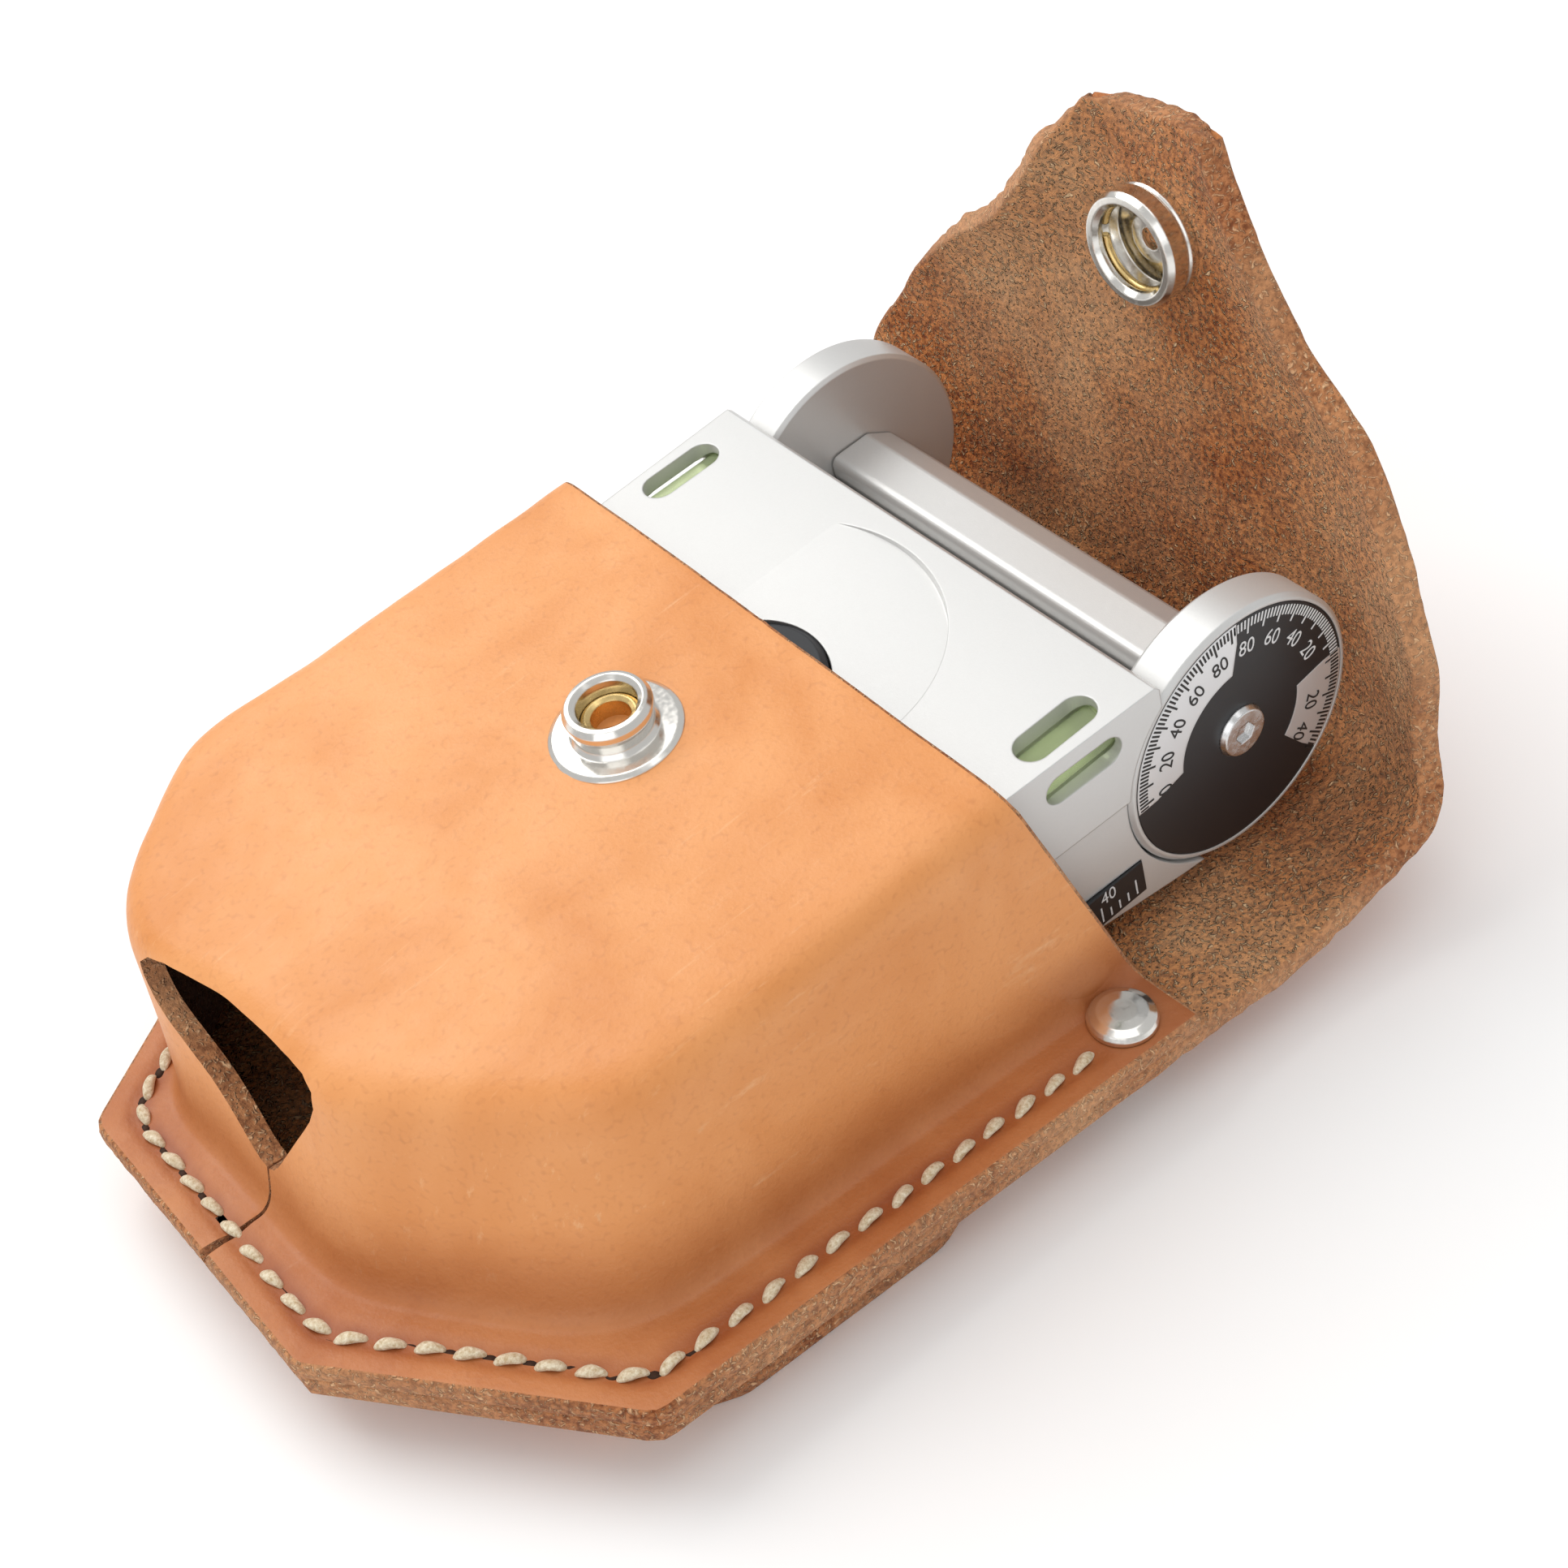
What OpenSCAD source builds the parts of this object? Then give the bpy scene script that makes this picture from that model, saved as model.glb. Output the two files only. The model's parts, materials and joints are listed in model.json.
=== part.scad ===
// Leather ever ready case with its pocket transit, lying on its back.
// X runs from the closed end to the mouth, Y across, Z up out of the front.
// The origin is the middle of the belt loop's outer face.

/* [Leather] */
// Thickness of the back panel and flap
back_t = 3.2; // [2.4:0.1:4]
// Thickness of the moulded front
front_t = 2.5; // [2:0.1:3.2]
// Thickness of the belt loop
loop_t = 2.6; // [2:0.1:3.2]
// Half width of the back panel and flap
half_w = 52.6; // [48:0.1:56]
// Far edge of the sewn tabs beside the mouth
tab_x = 97.4; // [92:0.1:102]

/* [Cut corners] */
// Half length of the straight edge at the closed end
end_w = 22; // [18:0.5:26]
// Where the right side's straight edge starts
right_side_x = 22; // [16:0.5:30]
// Where the left side's straight edge starts
left_side_x = 36; // [28:0.5:44]
// Corner between the two cuts on the left, along the case
left_cut_x = 11; // [6:0.5:16]
// The same corner, from the middle
left_cut_y = 31; // [26:0.5:36]

/* [Pocket] */
// Height of the front face at the mouth
mouth_z = 37.2; // [34:0.1:40]
// Position of the mouth's top edge
mouth_x = 82.4; // [80:0.1:90]
// Where the wall of the closed end meets the flange
foot_x = 6; // [4:0.5:9]
// Half length of the closed end's wall at the flange
foot_end_w = 18; // [14:0.5:22]
// Where the right side wall starts at the flange
foot_right_x = 24; // [18:0.5:30]
// Where the left side wall starts at the flange
foot_left_x = 34; // [26:0.5:40]
// Where the front face starts on the right
ridge_right_x = 11; // [8:0.5:14]
// Where the front face starts on the left, which bulges
ridge_left_x = 8.5; // [7:0.5:14]
// Half length of the front face's end on the right
ridge_right_w = 16.5; // [12:0.5:22]
// Half length of the front face's end on the left
ridge_left_w = 24.5; // [16:0.5:28]
// Radius of the wall's rounded corners in the plan
wall_r = 18; // [8:0.5:22]
// Slope of the front face down to the closed end, degrees
tilt = 7.31; // [4:0.01:10]
// Half width of the front face at the mouth
ridge_w = 42; // [40:0.1:43]
// Half width of the wall where it meets the flange
foot_w = 43.2; // [42:0.1:46]
// Height of the lowest point of the vent opening
vent_z = 9.6; // [8:0.1:14]
// Height of the vent's top edge
vent_top = 27.3; // [24:0.1:28]
// Reach of the vent to the left of the middle
vent_left = 16.6; // [12:0.1:18]
// Reach of the vent to the right of the middle
vent_right = 11.4; // [8:0.1:14]
// Position of the butt seam below the vent, from the middle
butt_y = -2; // [-5:0.1:5]

/* [Flap] */
// Position of the fold between back panel and flap
fold_x = 107.43; // [104:0.01:112]
// Inner face of the standing flap
stand_x = 143.8; // [140:0.1:148]
// Inside radius of the moulded bend
bend_r = 13; // [9:0.5:16]
// Downward slope of the open flap's flat part, degrees
sag = 5; // [0:0.5:8]
// Height of the bend line of the tongue
tongue_z = 33; // [26:0.5:36]
// Height of the tongue's tip
tip_z = 76; // [72:0.5:84]
// Half width and height of the flap's shoulders
shoulder = [46, 36.5]; // [30:0.5:50]
// Half width and height of the neck under the tongue
neck = [25, 51.5]; // [14:0.5:60]
// Height of the snap socket
socket_z = 58; // [54:0.1:62]

/* [Snap fastener] */
// Position of the stud along the case
stud_x = 61.6; // [58:0.1:66]
// Radius of the stud's base flange
stud_flange_r = 7.75; // [7:0.05:8.5]
// Radius of the stud's lip
stud_lip_r = 5.15; // [4.8:0.05:5.4]
// Height of the stud above the leather
stud_h = 5; // [4:0.1:5.2]
// Radius of the socket's shell
socket_r = 7.2; // [6.8:0.1:7.6]
// Depth of the socket in front of the leather
socket_h = 4.5; // [4:0.1:5]

/* [Rivets] */
// Radius of a rivet cap
cap_r = 4.1; // [3.6:0.1:5]
// Height of a rivet cap
cap_h = 1.7; // [1.2:0.1:2.2]
// Radius of a rivet post
post_r = 1.6; // [1.2:0.1:2]
// Distance of a tab rivet from the mouth's closed end
tab_rivet_x = 90.7; // [88:0.1:92]
// Distance of a tab rivet from the middle
tab_rivet_y = 47.6; // [46:0.1:48]

/* [Belt loop] */
// Room for the belt between loop and back panel
belt_gap = 4.7; // [3:0.1:6]
// Half width of the loop
loop_w = 49.4; // [44:0.1:50]

/* [Stitching] */
// Thread radius
thread_r = 0.62; // [0.4:0.02:0.8]
// Distance of the stitch line from the flange's edge
seam_inset = 3.6; // [3:0.1:5]
// Where the stitch line starts beside the mouth
seam_start = 85.6; // [84:0.1:86]
// Distance between stitch holes
stitch_pitch = 4.4; // [4:0.1:6]

/* [Transit] */
// Radius of a hinge disc
disc_r = 17.2; // [16:0.1:18]
// Outer face of a hinge disc from the middle
disc_y = 37; // [35:0.1:38]
// Thickness of a hinge disc
disc_t = 5.8; // [5:0.1:7]
// Height of the lid above the hinge axis
lid_z = 17; // [16:0.1:17.4]
// Half width of the lid at the hinge
lid_w = 37.6; // [36:0.1:38]
// Hinge axis position along the case
axis_x = 120; // [110:0.1:122]
// Hinge axis height
axis_z = 20; // [18:0.1:21]

/* [Hidden] */
loop_mid_x = 43;
rest_z = back_t + belt_gap + loop_t;
slope = tan(tilt);
bend_mid = bend_r + back_t / 2;
tongue_x = stand_x + back_t / 2;
run = (tongue_x - fold_x - bend_mid * (1 + sin(sag))) / cos(sag);
bend_c = [fold_x + run * cos(sag) + bend_mid * sin(sag),
          -back_t / 2 - run * sin(sag) + bend_mid * cos(sag)];

leather_c = [0.86, 0.58, 0.34];
nickel_c = [0.8, 0.8, 0.78];
brass_c = [0.72, 0.55, 0.3];
metal_c = [0.82, 0.82, 0.8];
black_c = [0.06, 0.06, 0.07];
thread_c = [0.9, 0.85, 0.72];
vial_c = [0.55, 0.75, 0.35, 0.8];

// Case frame: closed end at X = 0, inner face of the back panel at Z = 0.
module at_case() translate([-loop_mid_x, 0, rest_z]) children();

// Height of the pocket's outer front face.
function front_z(x) = mouth_z - (mouth_x - x) * slope;

// On the front face at a point along the case, Z square to the leather.
module on_front(x) translate([x, 0, front_z(x)]) rotate([0, -tilt, 0]) children();

// Transit frame: hinge axis at the origin, lid face towards +Z.
module at_transit() at_case() translate([axis_x, 0, axis_z]) rotate([0, -tilt, 0]) children();

module across(y0, y1) translate([0, y1, 0]) rotate([90, 0, 0]) linear_extrude(y1 - y0) children();

// Outline from a right half (negative Y) and a left half, both listed from the closed end.
module outline(right, left)
    polygon(concat([for (p = right) [p[0], -p[1]]], [for (i = [len(left) - 1:-1:0]) left[i]]));

// Rounds an outline's corners to a radius and moves it inwards.
module rounded(r, inset) offset(r, $fn = 72) offset(delta = -r - inset) children();

// ---- leather ----

// Corners of the cut leather's edge on each side, from the closed end to beyond the mouth.
function edge_right(x_end) = [[-2, end_w], [right_side_x, half_w], [x_end, half_w]];
function edge_left(x_end) = [[-2, end_w], [left_cut_x, left_cut_y], [left_side_x, half_w], [x_end, half_w]];

module back_outline(x_end) rounded(2.5, 0) outline(edge_right(x_end + 2.5), edge_left(x_end + 2.5));

module back_plan(x_end) intersection() {
    back_outline(x_end);
    translate([-10, -100]) square([x_end + 10, 200]);
}

module tab_holes() {
    for (s = [-1, 1])
        translate([tab_rivet_x, s * tab_rivet_y, -5]) cylinder(r = post_r, h = 12, $fn = 24);
}

// Holes of the loop rivets, with seats for their burrs inside the back panel.
module loop_holes() {
    for (s = [-1, 1], p = loop_rivets) translate([p[0], s * p[1], 0]) {
        translate([0, 0, -20]) cylinder(r = post_r, h = 20.5, $fn = 24);
        translate([0, 0, -0.9]) cylinder(r = 4.2, h = 2, $fn = 32);
    }
}

loop_rivets = [[73, 43.2], [15.2, 22.5]];

module back_panel() color(leather_c) at_case() difference() {
    translate([0, 0, -back_t]) linear_extrude(back_t) back_plan(fold_x - back_t / 2 - 0.06);
    tab_holes();
    loop_holes();
}

// Plan of the pocket where its wall meets the flange.
module foot_plan(inset, x_end) rounded(wall_r, inset)
    outline([[foot_x, foot_end_w], [foot_right_x, foot_w], [x_end + wall_r, foot_w]],
            [[foot_x, foot_end_w], [foot_left_x, foot_w], [x_end + wall_r, foot_w]]);

// Plan of the pocket under its front face.
module ridge_plan(inset, x_end) rounded(wall_r * 0.8, inset)
    outline([[ridge_right_x, ridge_right_w], [foot_right_x + 8, ridge_w - 0.8], [x_end + wall_r, ridge_w + 0.5]],
            [[ridge_left_x, ridge_left_w], [foot_left_x - 4.5, ridge_w], [x_end + wall_r, ridge_w + 0.5]]);

module slab(drop, z) multmatrix([[1, 0, 0, 0], [0, 1, 0, 0],
        [slope, 0, 1, mouth_z - mouth_x * slope - drop], [0, 0, 0, 1]])
    translate([0, 0, z]) linear_extrude(0.01) children();

module pocket_outer() hull() {
    linear_extrude(0.02) foot_plan(0, 110);
    slab(4, 0) ridge_plan(0, 110);
    slab(1.3, 0) ridge_plan(1.1, 110);
    slab(0.01, 0) ridge_plan(3.6, 110);
}

module pocket_inner() hull() {
    translate([0, 0, -1]) linear_extrude(0.02) foot_plan(front_t, 120);
    slab(front_t + 2, 0) ridge_plan(front_t, 120);
    slab(front_t + 0.02, 0) ridge_plan(front_t + 1.4, 120);
}

// Everything beyond the mouth above the flange.
module beyond_mouth() across(-60, 60)
    polygon([[mouth_x, mouth_z + 12], [mouth_x, mouth_z - 0.6], [tab_x - 1.2, front_t + 0.02],
             [130, front_t + 0.02], [130, mouth_z + 12]]);

module front_shell() difference() {
    union() {
        linear_extrude(front_t) back_plan(tab_x);
        pocket_outer();
    }
    pocket_inner();
    beyond_mouth();
    translate([tab_x, -60, -1]) cube([40, 120, 60]);
    tab_holes();
    vent_cut();
    translate([-6, butt_y - 0.25, -1]) cube([16, 0.5, vent_z + 4]);
    on_front(stud_x) cylinder(r = 3.1, h = 12, center = true, $fn = 32);
}

// Outline of the vent, Y across and Z up: wide on the left, drawn down to the butt seam.
module vent_outline() hull() {
    translate([vent_left - 4.1, vent_top - 4.1]) circle(4.1, $fn = 32);
    translate([2.9 - vent_right, vent_top - 2.9]) circle(2.9, $fn = 32);
    translate([butt_y, vent_z + 1.2]) circle(1.2, $fn = 24);
}

// The vent stops at the underside of the front face.
module vent_cut() intersection() {
    translate([-3, 0, 0]) rotate([90, 0, 90]) linear_extrude(26) vent_outline();
    multmatrix([[1, 0, 0, 0], [0, 1, 0, 0],
                [slope, 0, 1, mouth_z - mouth_x * slope - front_t - 40], [0, 0, 0, 1]])
        translate([-20, -30, 0]) cube([60, 60, 40]);
}

module front_pocket() color(leather_c) at_case() front_shell();

// ---- stitching ----

function unit(v) = v / norm(v);

// Unit vector from the edge a-b towards the middle of the case.
function inwards(a, b) = let (u = unit(b - a)) [u[1], -u[0]];

// An open line of corners moved inwards by a distance, with mitred corners.
function moved_in(line, d) = let (last = len(line) - 1) [for (i = [0:last])
    let (n0 = inwards(line[max(i - 1, 0)], line[max(i, 1)]),
         n1 = inwards(line[min(i, last - 1)], line[min(i + 1, last)]))
    line[i] + d * (n0 + n1) / (1 + n0 * n1)];

// The same line with each corner replaced by a curve that starts a distance t before it.
function eased(line, t, steps = 6) = concat([line[0]],
    [for (i = [1:len(line) - 2])
        let (a = line[i] + t * unit(line[i - 1] - line[i]), b = line[i] + t * unit(line[i + 1] - line[i]))
        each [for (k = [0:steps]) let (s = k / steps) a * pow(1 - s, 2) + line[i] * 2 * s * (1 - s) + b * s * s]],
    [line[len(line) - 1]]);

function reversed(line) = [for (i = [len(line) - 1:-1:0]) line[i]];

// Stitch line of one side, from the mouth to the middle of the closed end.
function seam_line(edge) = reversed(eased(moved_in(concat([[-2, 0]], edge), seam_inset), 6));

function dist(a, b) = norm(b - a);
function seam_length(seam, i = 0) = i >= len(seam) - 1 ? 0 : dist(seam[i], seam[i + 1]) + seam_length(seam, i + 1);
function seam_at(seam, s, i = 0) = let (d = dist(seam[i], seam[i + 1]))
    (s <= d || i >= len(seam) - 2) ? seam[i] + (seam[i + 1] - seam[i]) * (s / d) : seam_at(seam, s - d, i + 1);

// A straight run of thread between two points of the seam.
module thread(a, b, z, r) translate([a[0], a[1], z])
    rotate([0, 0, atan2(b[1] - a[1], b[0] - a[0])]) rotate([0, 90, 0])
        cylinder(r = r, h = dist(a, b), $fn = 8);

module seam_half(seam) {
    stitches = round(seam_length(seam) / stitch_pitch);
    holes = [for (k = [0:stitches]) seam_at(seam, seam_length(seam) * k / stitches)];
    for (k = [0:stitches - 1]) {
        thread(holes[k], holes[k + 1], front_t + 0.1, thread_r);
        thread(holes[k], holes[k + 1], 0.45 - back_t, 0.4);
    }
    for (hole = holes) translate([hole[0], hole[1], 0.4 - back_t])
        cylinder(r = 0.45, h = back_t + front_t - 0.3, $fn = 8);
}

module stitching() color(thread_c) at_case() {
    seam_half(seam_line(edge_left(seam_start)));
    mirror([0, 1, 0]) seam_half(seam_line(edge_right(seam_start)));
}

// ---- belt loop and rivets ----

module belt_loop() color(leather_c) at_case() difference() {
    intersection() {
        across(-60, 60) polygon([
            [6, -back_t], [21, -back_t], [25, -back_t - belt_gap], [61, -back_t - belt_gap],
            [65, -back_t], [82, -back_t], [82, -back_t - loop_t],
            [66.2, -back_t - loop_t], [62.2, -rest_z], [23.8, -rest_z],
            [19.8, -back_t - loop_t], [6, -back_t - loop_t]]);
        translate([0, 0, -rest_z - 1]) linear_extrude(rest_z)
            offset(4, $fn = 24) offset(delta = -4)
                outline([[6, 30], [20, 44], [34, loop_w], [82, loop_w]],
                        [[6, 24], [15, 31], [36, loop_w], [82, loop_w]]);
    }
    loop_holes();
}

module cap(h, r) rotate_extrude($fn = 48)
    polygon([[0, 0], [r, 0], [r, 0.35 * h], [0.93 * r, 0.68 * h], [0.72 * r, 0.92 * h], [0.4 * r, h], [0, h]]);

module loop_rivet(p, s) color(nickel_c) at_case() translate([p[0], s * p[1], 0]) {
    translate([0, 0, -back_t - loop_t]) mirror([0, 0, 1]) cap(cap_h, cap_r);
    translate([0, 0, -back_t - loop_t - 0.1]) cylinder(r = post_r - 0.02, h = back_t + loop_t - 0.2, $fn = 24);
    translate([0, 0, -0.88]) cylinder(r = 4.1, h = 0.8, $fn = 40);
}

module loop_rivet_upper_left() loop_rivet(loop_rivets[0], 1);
module loop_rivet_upper_right() loop_rivet(loop_rivets[0], -1);
module loop_rivet_lower_left() loop_rivet(loop_rivets[1], 1);
module loop_rivet_lower_right() loop_rivet(loop_rivets[1], -1);

// Post and back cap of a tab rivet; the front cap is its own piece, pressed on.
module tab_rivet(s) color(nickel_c) at_case() translate([tab_rivet_x, s * tab_rivet_y, 0]) {
    translate([0, 0, -back_t]) mirror([0, 0, 1]) cap(cap_h, cap_r);
    translate([0, 0, -back_t - 0.1]) cylinder(r = post_r - 0.02, h = back_t + front_t + 0.05, $fn = 24);
}

module tab_cap(s) color(nickel_c) at_case() translate([tab_rivet_x, s * tab_rivet_y, front_t]) cap(cap_h, cap_r);

module tab_rivet_left() tab_rivet(1);
module tab_rivet_right() tab_rivet(-1);
module tab_rivet_cap_left() tab_cap(1);
module tab_rivet_cap_right() tab_cap(-1);

// ---- snap fastener ----

module ring(pts) rotate_extrude($fn = 64) polygon(pts);

module stud_base() color(nickel_c) at_case() on_front(stud_x)
    ring([[3.6, 0], [stud_flange_r, 0], [stud_flange_r, 0.4], [stud_flange_r - 0.6, 0.8], [5.2, 0.9],
          [4.72, 1.5], [4.72, 2.6], [stud_lip_r, 3.4], [stud_lip_r, stud_h - 0.8],
          [stud_lip_r - 0.5, stud_h - 0.1], [stud_lip_r - 1, stud_h], [3.5, stud_h - 0.5],
          [3.5, 1.2], [3.6, 1.2]]);

// Brass eyelet through the leather, rolled over inside the pocket.
module stud_eyelet() color(brass_c) at_case() on_front(stud_x)
    ring([[2.3, -front_t - 0.28], [5.2, -front_t - 0.28], [5.2, -front_t - 0.02], [3.05, -front_t - 0.02],
          [3.05, 1.1], [3.45, 1.2], [3.45, 2.6], [2.9, 3], [2.3, 2.6]]);

module at_socket() at_case() translate([stand_x, 0, socket_z]) rotate([0, -90, 0]) children();

module socket_shell() color(nickel_c) at_socket()
    ring([[2.2, 0], [socket_r, 0], [socket_r, 1.1], [socket_r - 0.25, 1.4], [socket_r, 1.8],
          [socket_r, socket_h - 0.7], [socket_r - 0.5, socket_h], [5.9, socket_h],
          [5.35, socket_h - 0.6], [5.35, 3.3], [6.2, 3.2], [6.2, 1.4], [5.7, 0.35], [2.2, 0.35]]);

module socket_spring() color(brass_c) at_socket() translate([0, 0, 2.55]) difference() {
    rotate_extrude($fn = 64) translate([5.6, 0]) circle(0.5, $fn = 16);
    translate([0, 5.6, 0]) cube([1.6, 3, 2], center = true);
}

// Eyelet and cap on the grain side of the flap.
module socket_eyelet() color(nickel_c) at_socket() {
    ring([[1.4, -back_t - 0.3], [2.15, -back_t - 0.3], [2.15, 0.38], [3, 0.42], [3, 0.75], [1.4, 0.75]]);
    translate([0, 0, -back_t]) mirror([0, 0, 1]) cap(1.8, 7.4);
}

// ---- flap ----

function arc(c, r, a0, a1, n) = [for (i = [0:n]) let (a = a0 + (a1 - a0) * i / n) c + r * [cos(a), sin(a)]];

// The flap's side view in the plane of its middle, from the fold to a height.
module flap_side(top) polygon(concat(
    arc([fold_x, -back_t / 2], back_t / 2, 90 - sag, 270 - sag, 12),
    arc(bend_c, bend_r + back_t, -90 - sag, 0, 24),
    [[stand_x + back_t, top], [stand_x, top]],
    arc(bend_c, bend_r, 0, -90 - sag, 24)));

// The tongue's side view, with its round end at the bend line.
module tongue_side() polygon(concat(
    arc([tongue_x, tongue_z], back_t / 2, 180, 360, 12),
    [[stand_x + back_t, tongue_z + 60], [stand_x, tongue_z + 60]]));

// Outline of the standing flap, seen from the mouth: Y across, height up.
module flap_front() offset(6, $fn = 32) offset(delta = -12) offset(6, $fn = 32)
    polygon(concat(flap_half, [for (i = [len(flap_half) - 1:-1:0]) [-flap_half[i][0], flap_half[i][1]]]));

flap_half = [[half_w, -20], [half_w - 0.6, 24], shoulder, neck, [17.5, 61], [12, tip_z - 5], [9, tip_z]];

module standing() rotate([90, 0, 90]) translate([0, 0, 100]) linear_extrude(60) flap_front();

module flap_end() color(leather_c) at_case() {
    intersection() {
        across(-half_w, half_w) flap_side(tongue_z - back_t / 2 - 0.05);
        union() {
            standing();
            translate([90, -60, -30]) cube([100, 120, 46]);
        }
    }
}

module flap_tongue() color(leather_c) at_case() difference() {
    intersection() {
        across(-60, 60) tongue_side();
        standing();
    }
    translate([stand_x, 0, socket_z]) rotate([0, 90, 0]) cylinder(r = 2.2, h = 20, center = true, $fn = 32);
}

// ---- pocket transit ----

// Round well for the compass in the base, and for the mirror in the lid.
well_x = -38;
well_r = 26;

// Plan of the transit's body with its narrowed rear.
function body_half(w) = [[-67, 15], [-43, w - 1.2], [-11, w], [60, w]];

module body_plan(w) outline(body_half(w), body_half(w));

// Room for the hinge discs in the sides of base and lid.
module disc_recess() for (s = [-1, 1]) translate([0, s * disc_y, 0]) rotate([90, 0, 0])
    cylinder(r = disc_r + 0.3, h = 2 * (disc_t + 0.2), center = true, $fn = 96);

module transit_base() color(metal_c) at_transit() difference() {
    intersection() {
        across(-40, 40) polygon([[-67, -8.2], [-67, 3], [-3.2, 3], [-3.2, -8], [5.6, -12.4], [2, -16.2], [-0.8, -16.5]]);
        translate([0, 0, -30]) linear_extrude(60) body_plan(disc_y);
    }
    disc_recess();
    translate([-30, -disc_y - 0.01, -12.8]) cube([13.2, 0.62, 5.2]);
    translate([well_x, 0, -7.6]) cylinder(r = well_r, h = 20, $fn = 96);
}

// Level vial housing openings on the lid's top and side.
vial_x = -22.4;
vial_y = 33.4;
vial_z = 12.8;

module vial_window(s) {
    translate([vial_x, s * vial_y, vial_z]) rotate([0, 90, 0]) cylinder(r = 2.9, h = 14, center = true, $fn = 40);
    translate([vial_x, s * vial_y, vial_z]) linear_extrude(10) hull()
        for (x = [-3.3, 3.3]) translate([x, 0]) circle(2.2, $fn = 32);
    translate([vial_x, s * vial_y, vial_z]) rotate([-s * 90, 0, 0]) linear_extrude(10) hull()
        for (x = [-3.4, 3.4]) translate([x, 0]) circle(2, $fn = 32);
}

module transit_lid() color(metal_c) at_transit() difference() {
    intersection() {
        across(-40, 40) polygon([[-67, 3.2], [-67, lid_z - 0.6], [-66.4, lid_z], [-11.6, lid_z], [-11, lid_z - 0.6], [-11, 3.2]]);
        translate([0, 0, -30]) linear_extrude(60) body_plan(lid_w);
    }
    translate([-34.5, 1, lid_z + 0.3]) rotate([5.4, 0, 0]) translate([0, 0, -1.2]) cylinder(r = 20.4, h = 6, $fn = 120);
    translate([-38.8, -0.6, lid_z - 6]) cylinder(r = 9.1, h = 10, $fn = 64);
    translate([well_x, 0, 0]) cylinder(r = well_r, h = 6.4, $fn = 96);
    for (s = [-1, 1]) vial_window(s);
    disc_recess();
}

module mirror_glass() color([0.75, 0.8, 0.82]) at_transit()
    translate([well_x, 0, 5.3]) cylinder(r = well_r - 0.05, h = 1.05, $fn = 96);

module compass_glass() color([0.85, 0.9, 0.92, 0.4]) at_transit()
    translate([well_x, 0, 1.6]) cylinder(r = well_r - 0.05, h = 1.3, $fn = 96);

module needle_pivot() color(brass_c) at_transit() translate([well_x, 0, -7.6]) {
    cylinder(r = 3, h = 1, $fn = 32);
    cylinder(r1 = 1, r2 = 0.35, h = 5.4, $fn = 24);
}

module compass_needle() color(black_c) at_transit() translate([well_x, 0, -2.4]) difference() {
    union() {
        linear_extrude(0.6) polygon([[-21, 0], [0, 2.2], [21, 0], [0, -2.2]]);
        translate([0, 0, -0.6]) cylinder(r = 1.8, h = 1.8, $fn = 32);
    }
    translate([0, 0, -0.8]) cylinder(r = 0.75, h = 1.3, $fn = 24);
}

module hinge_block() color(metal_c) at_transit() difference() {
    across(disc_t - disc_y + 0.2, disc_y - disc_t - 0.2) difference() {
        offset(1.2, $fn = 24) offset(delta = -1.2)
            polygon([[-2.9, 5.8], [3.2, 5.8], [6.6, 3.6], [9.3, -0.4], [14.6, -9.4], [13.6, -12.4], [6.4, -12], [-2.9, -7.4]]);
        circle(2.05, $fn = 32);
    }
}

module hinge_disc(s) color(metal_c) at_transit() scale([1, s, 1]) translate([0, disc_y, 0]) rotate([90, 0, 0]) difference() {
    rotate_extrude($fn = 120) polygon([[2.05, 0], [disc_r - 0.5, 0], [disc_r, 0.5], [disc_r, disc_t - 0.5],
                                       [disc_r - 0.5, disc_t], [2.05, disc_t]]);
    translate([0, 0, -0.01]) cylinder(r = disc_r - 0.9, h = 0.71, $fn = 120);
}

module hinge_disc_left() color(metal_c) hinge_disc(1);
module hinge_disc_right() color(metal_c) hinge_disc(-1);

module hinge_pin() color(nickel_c) at_transit() rotate([90, 0, 0]) difference() {
    cylinder(r = 2, h = 2 * disc_y - 1.5, center = true, $fn = 32);
    for (s = [-1, 1]) translate([0, 0, s * (disc_y - 3)]) cylinder(r = 1.1, h = 8, center = true, $fn = 24);
}

module dial_plate() color(black_c) at_transit() translate([0, -disc_y, 0]) rotate([-90, 0, 0])
    difference() {
        translate([0, 0, 0.05]) cylinder(r = disc_r - 1, h = 0.6, $fn = 120);
        translate([0, 0, -1]) cylinder(r = 1.7, h = 3, $fn = 32);
    }

module cover_plate() color(metal_c) at_transit() translate([0, disc_y, 0]) rotate([90, 0, 0])
    difference() {
        translate([0, 0, 0.05]) cylinder(r = disc_r - 1, h = 0.6, $fn = 120);
        translate([0, 0, -1]) cylinder(r = 1.7, h = 3, $fn = 32);
    }

// Pan head with a socket, threaded into the hinge pin.
module screw(socket_sides) {
    difference() {
        translate([0, 0, -0.75]) cylinder(r1 = 3, r2 = 3.4, h = 0.75, $fn = 48);
        translate([0, 0, -0.8]) cylinder(r = 1.45, h = 0.6, $fn = socket_sides);
    }
    translate([0, 0, -0.1]) cylinder(r = 1.05, h = 4.6, $fn = 24);
}

module dial_screw() color(nickel_c) at_transit() translate([0, -disc_y, 0]) rotate([-90, 0, 0])
    translate([0, 0, 0.04]) screw(6);

module blind_screw() color(nickel_c) at_transit() translate([0, disc_y, 0]) rotate([90, 0, 0])
    translate([0, 0, 0.04]) screw(6);

module vial(s) color(vial_c) at_transit() translate([vial_x, s * vial_y, vial_z]) rotate([0, 90, 0])
    cylinder(r = 2.6, h = 13.4, center = true, $fn = 40);

module vial_left() vial(1);
module vial_right() vial(-1);

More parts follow.
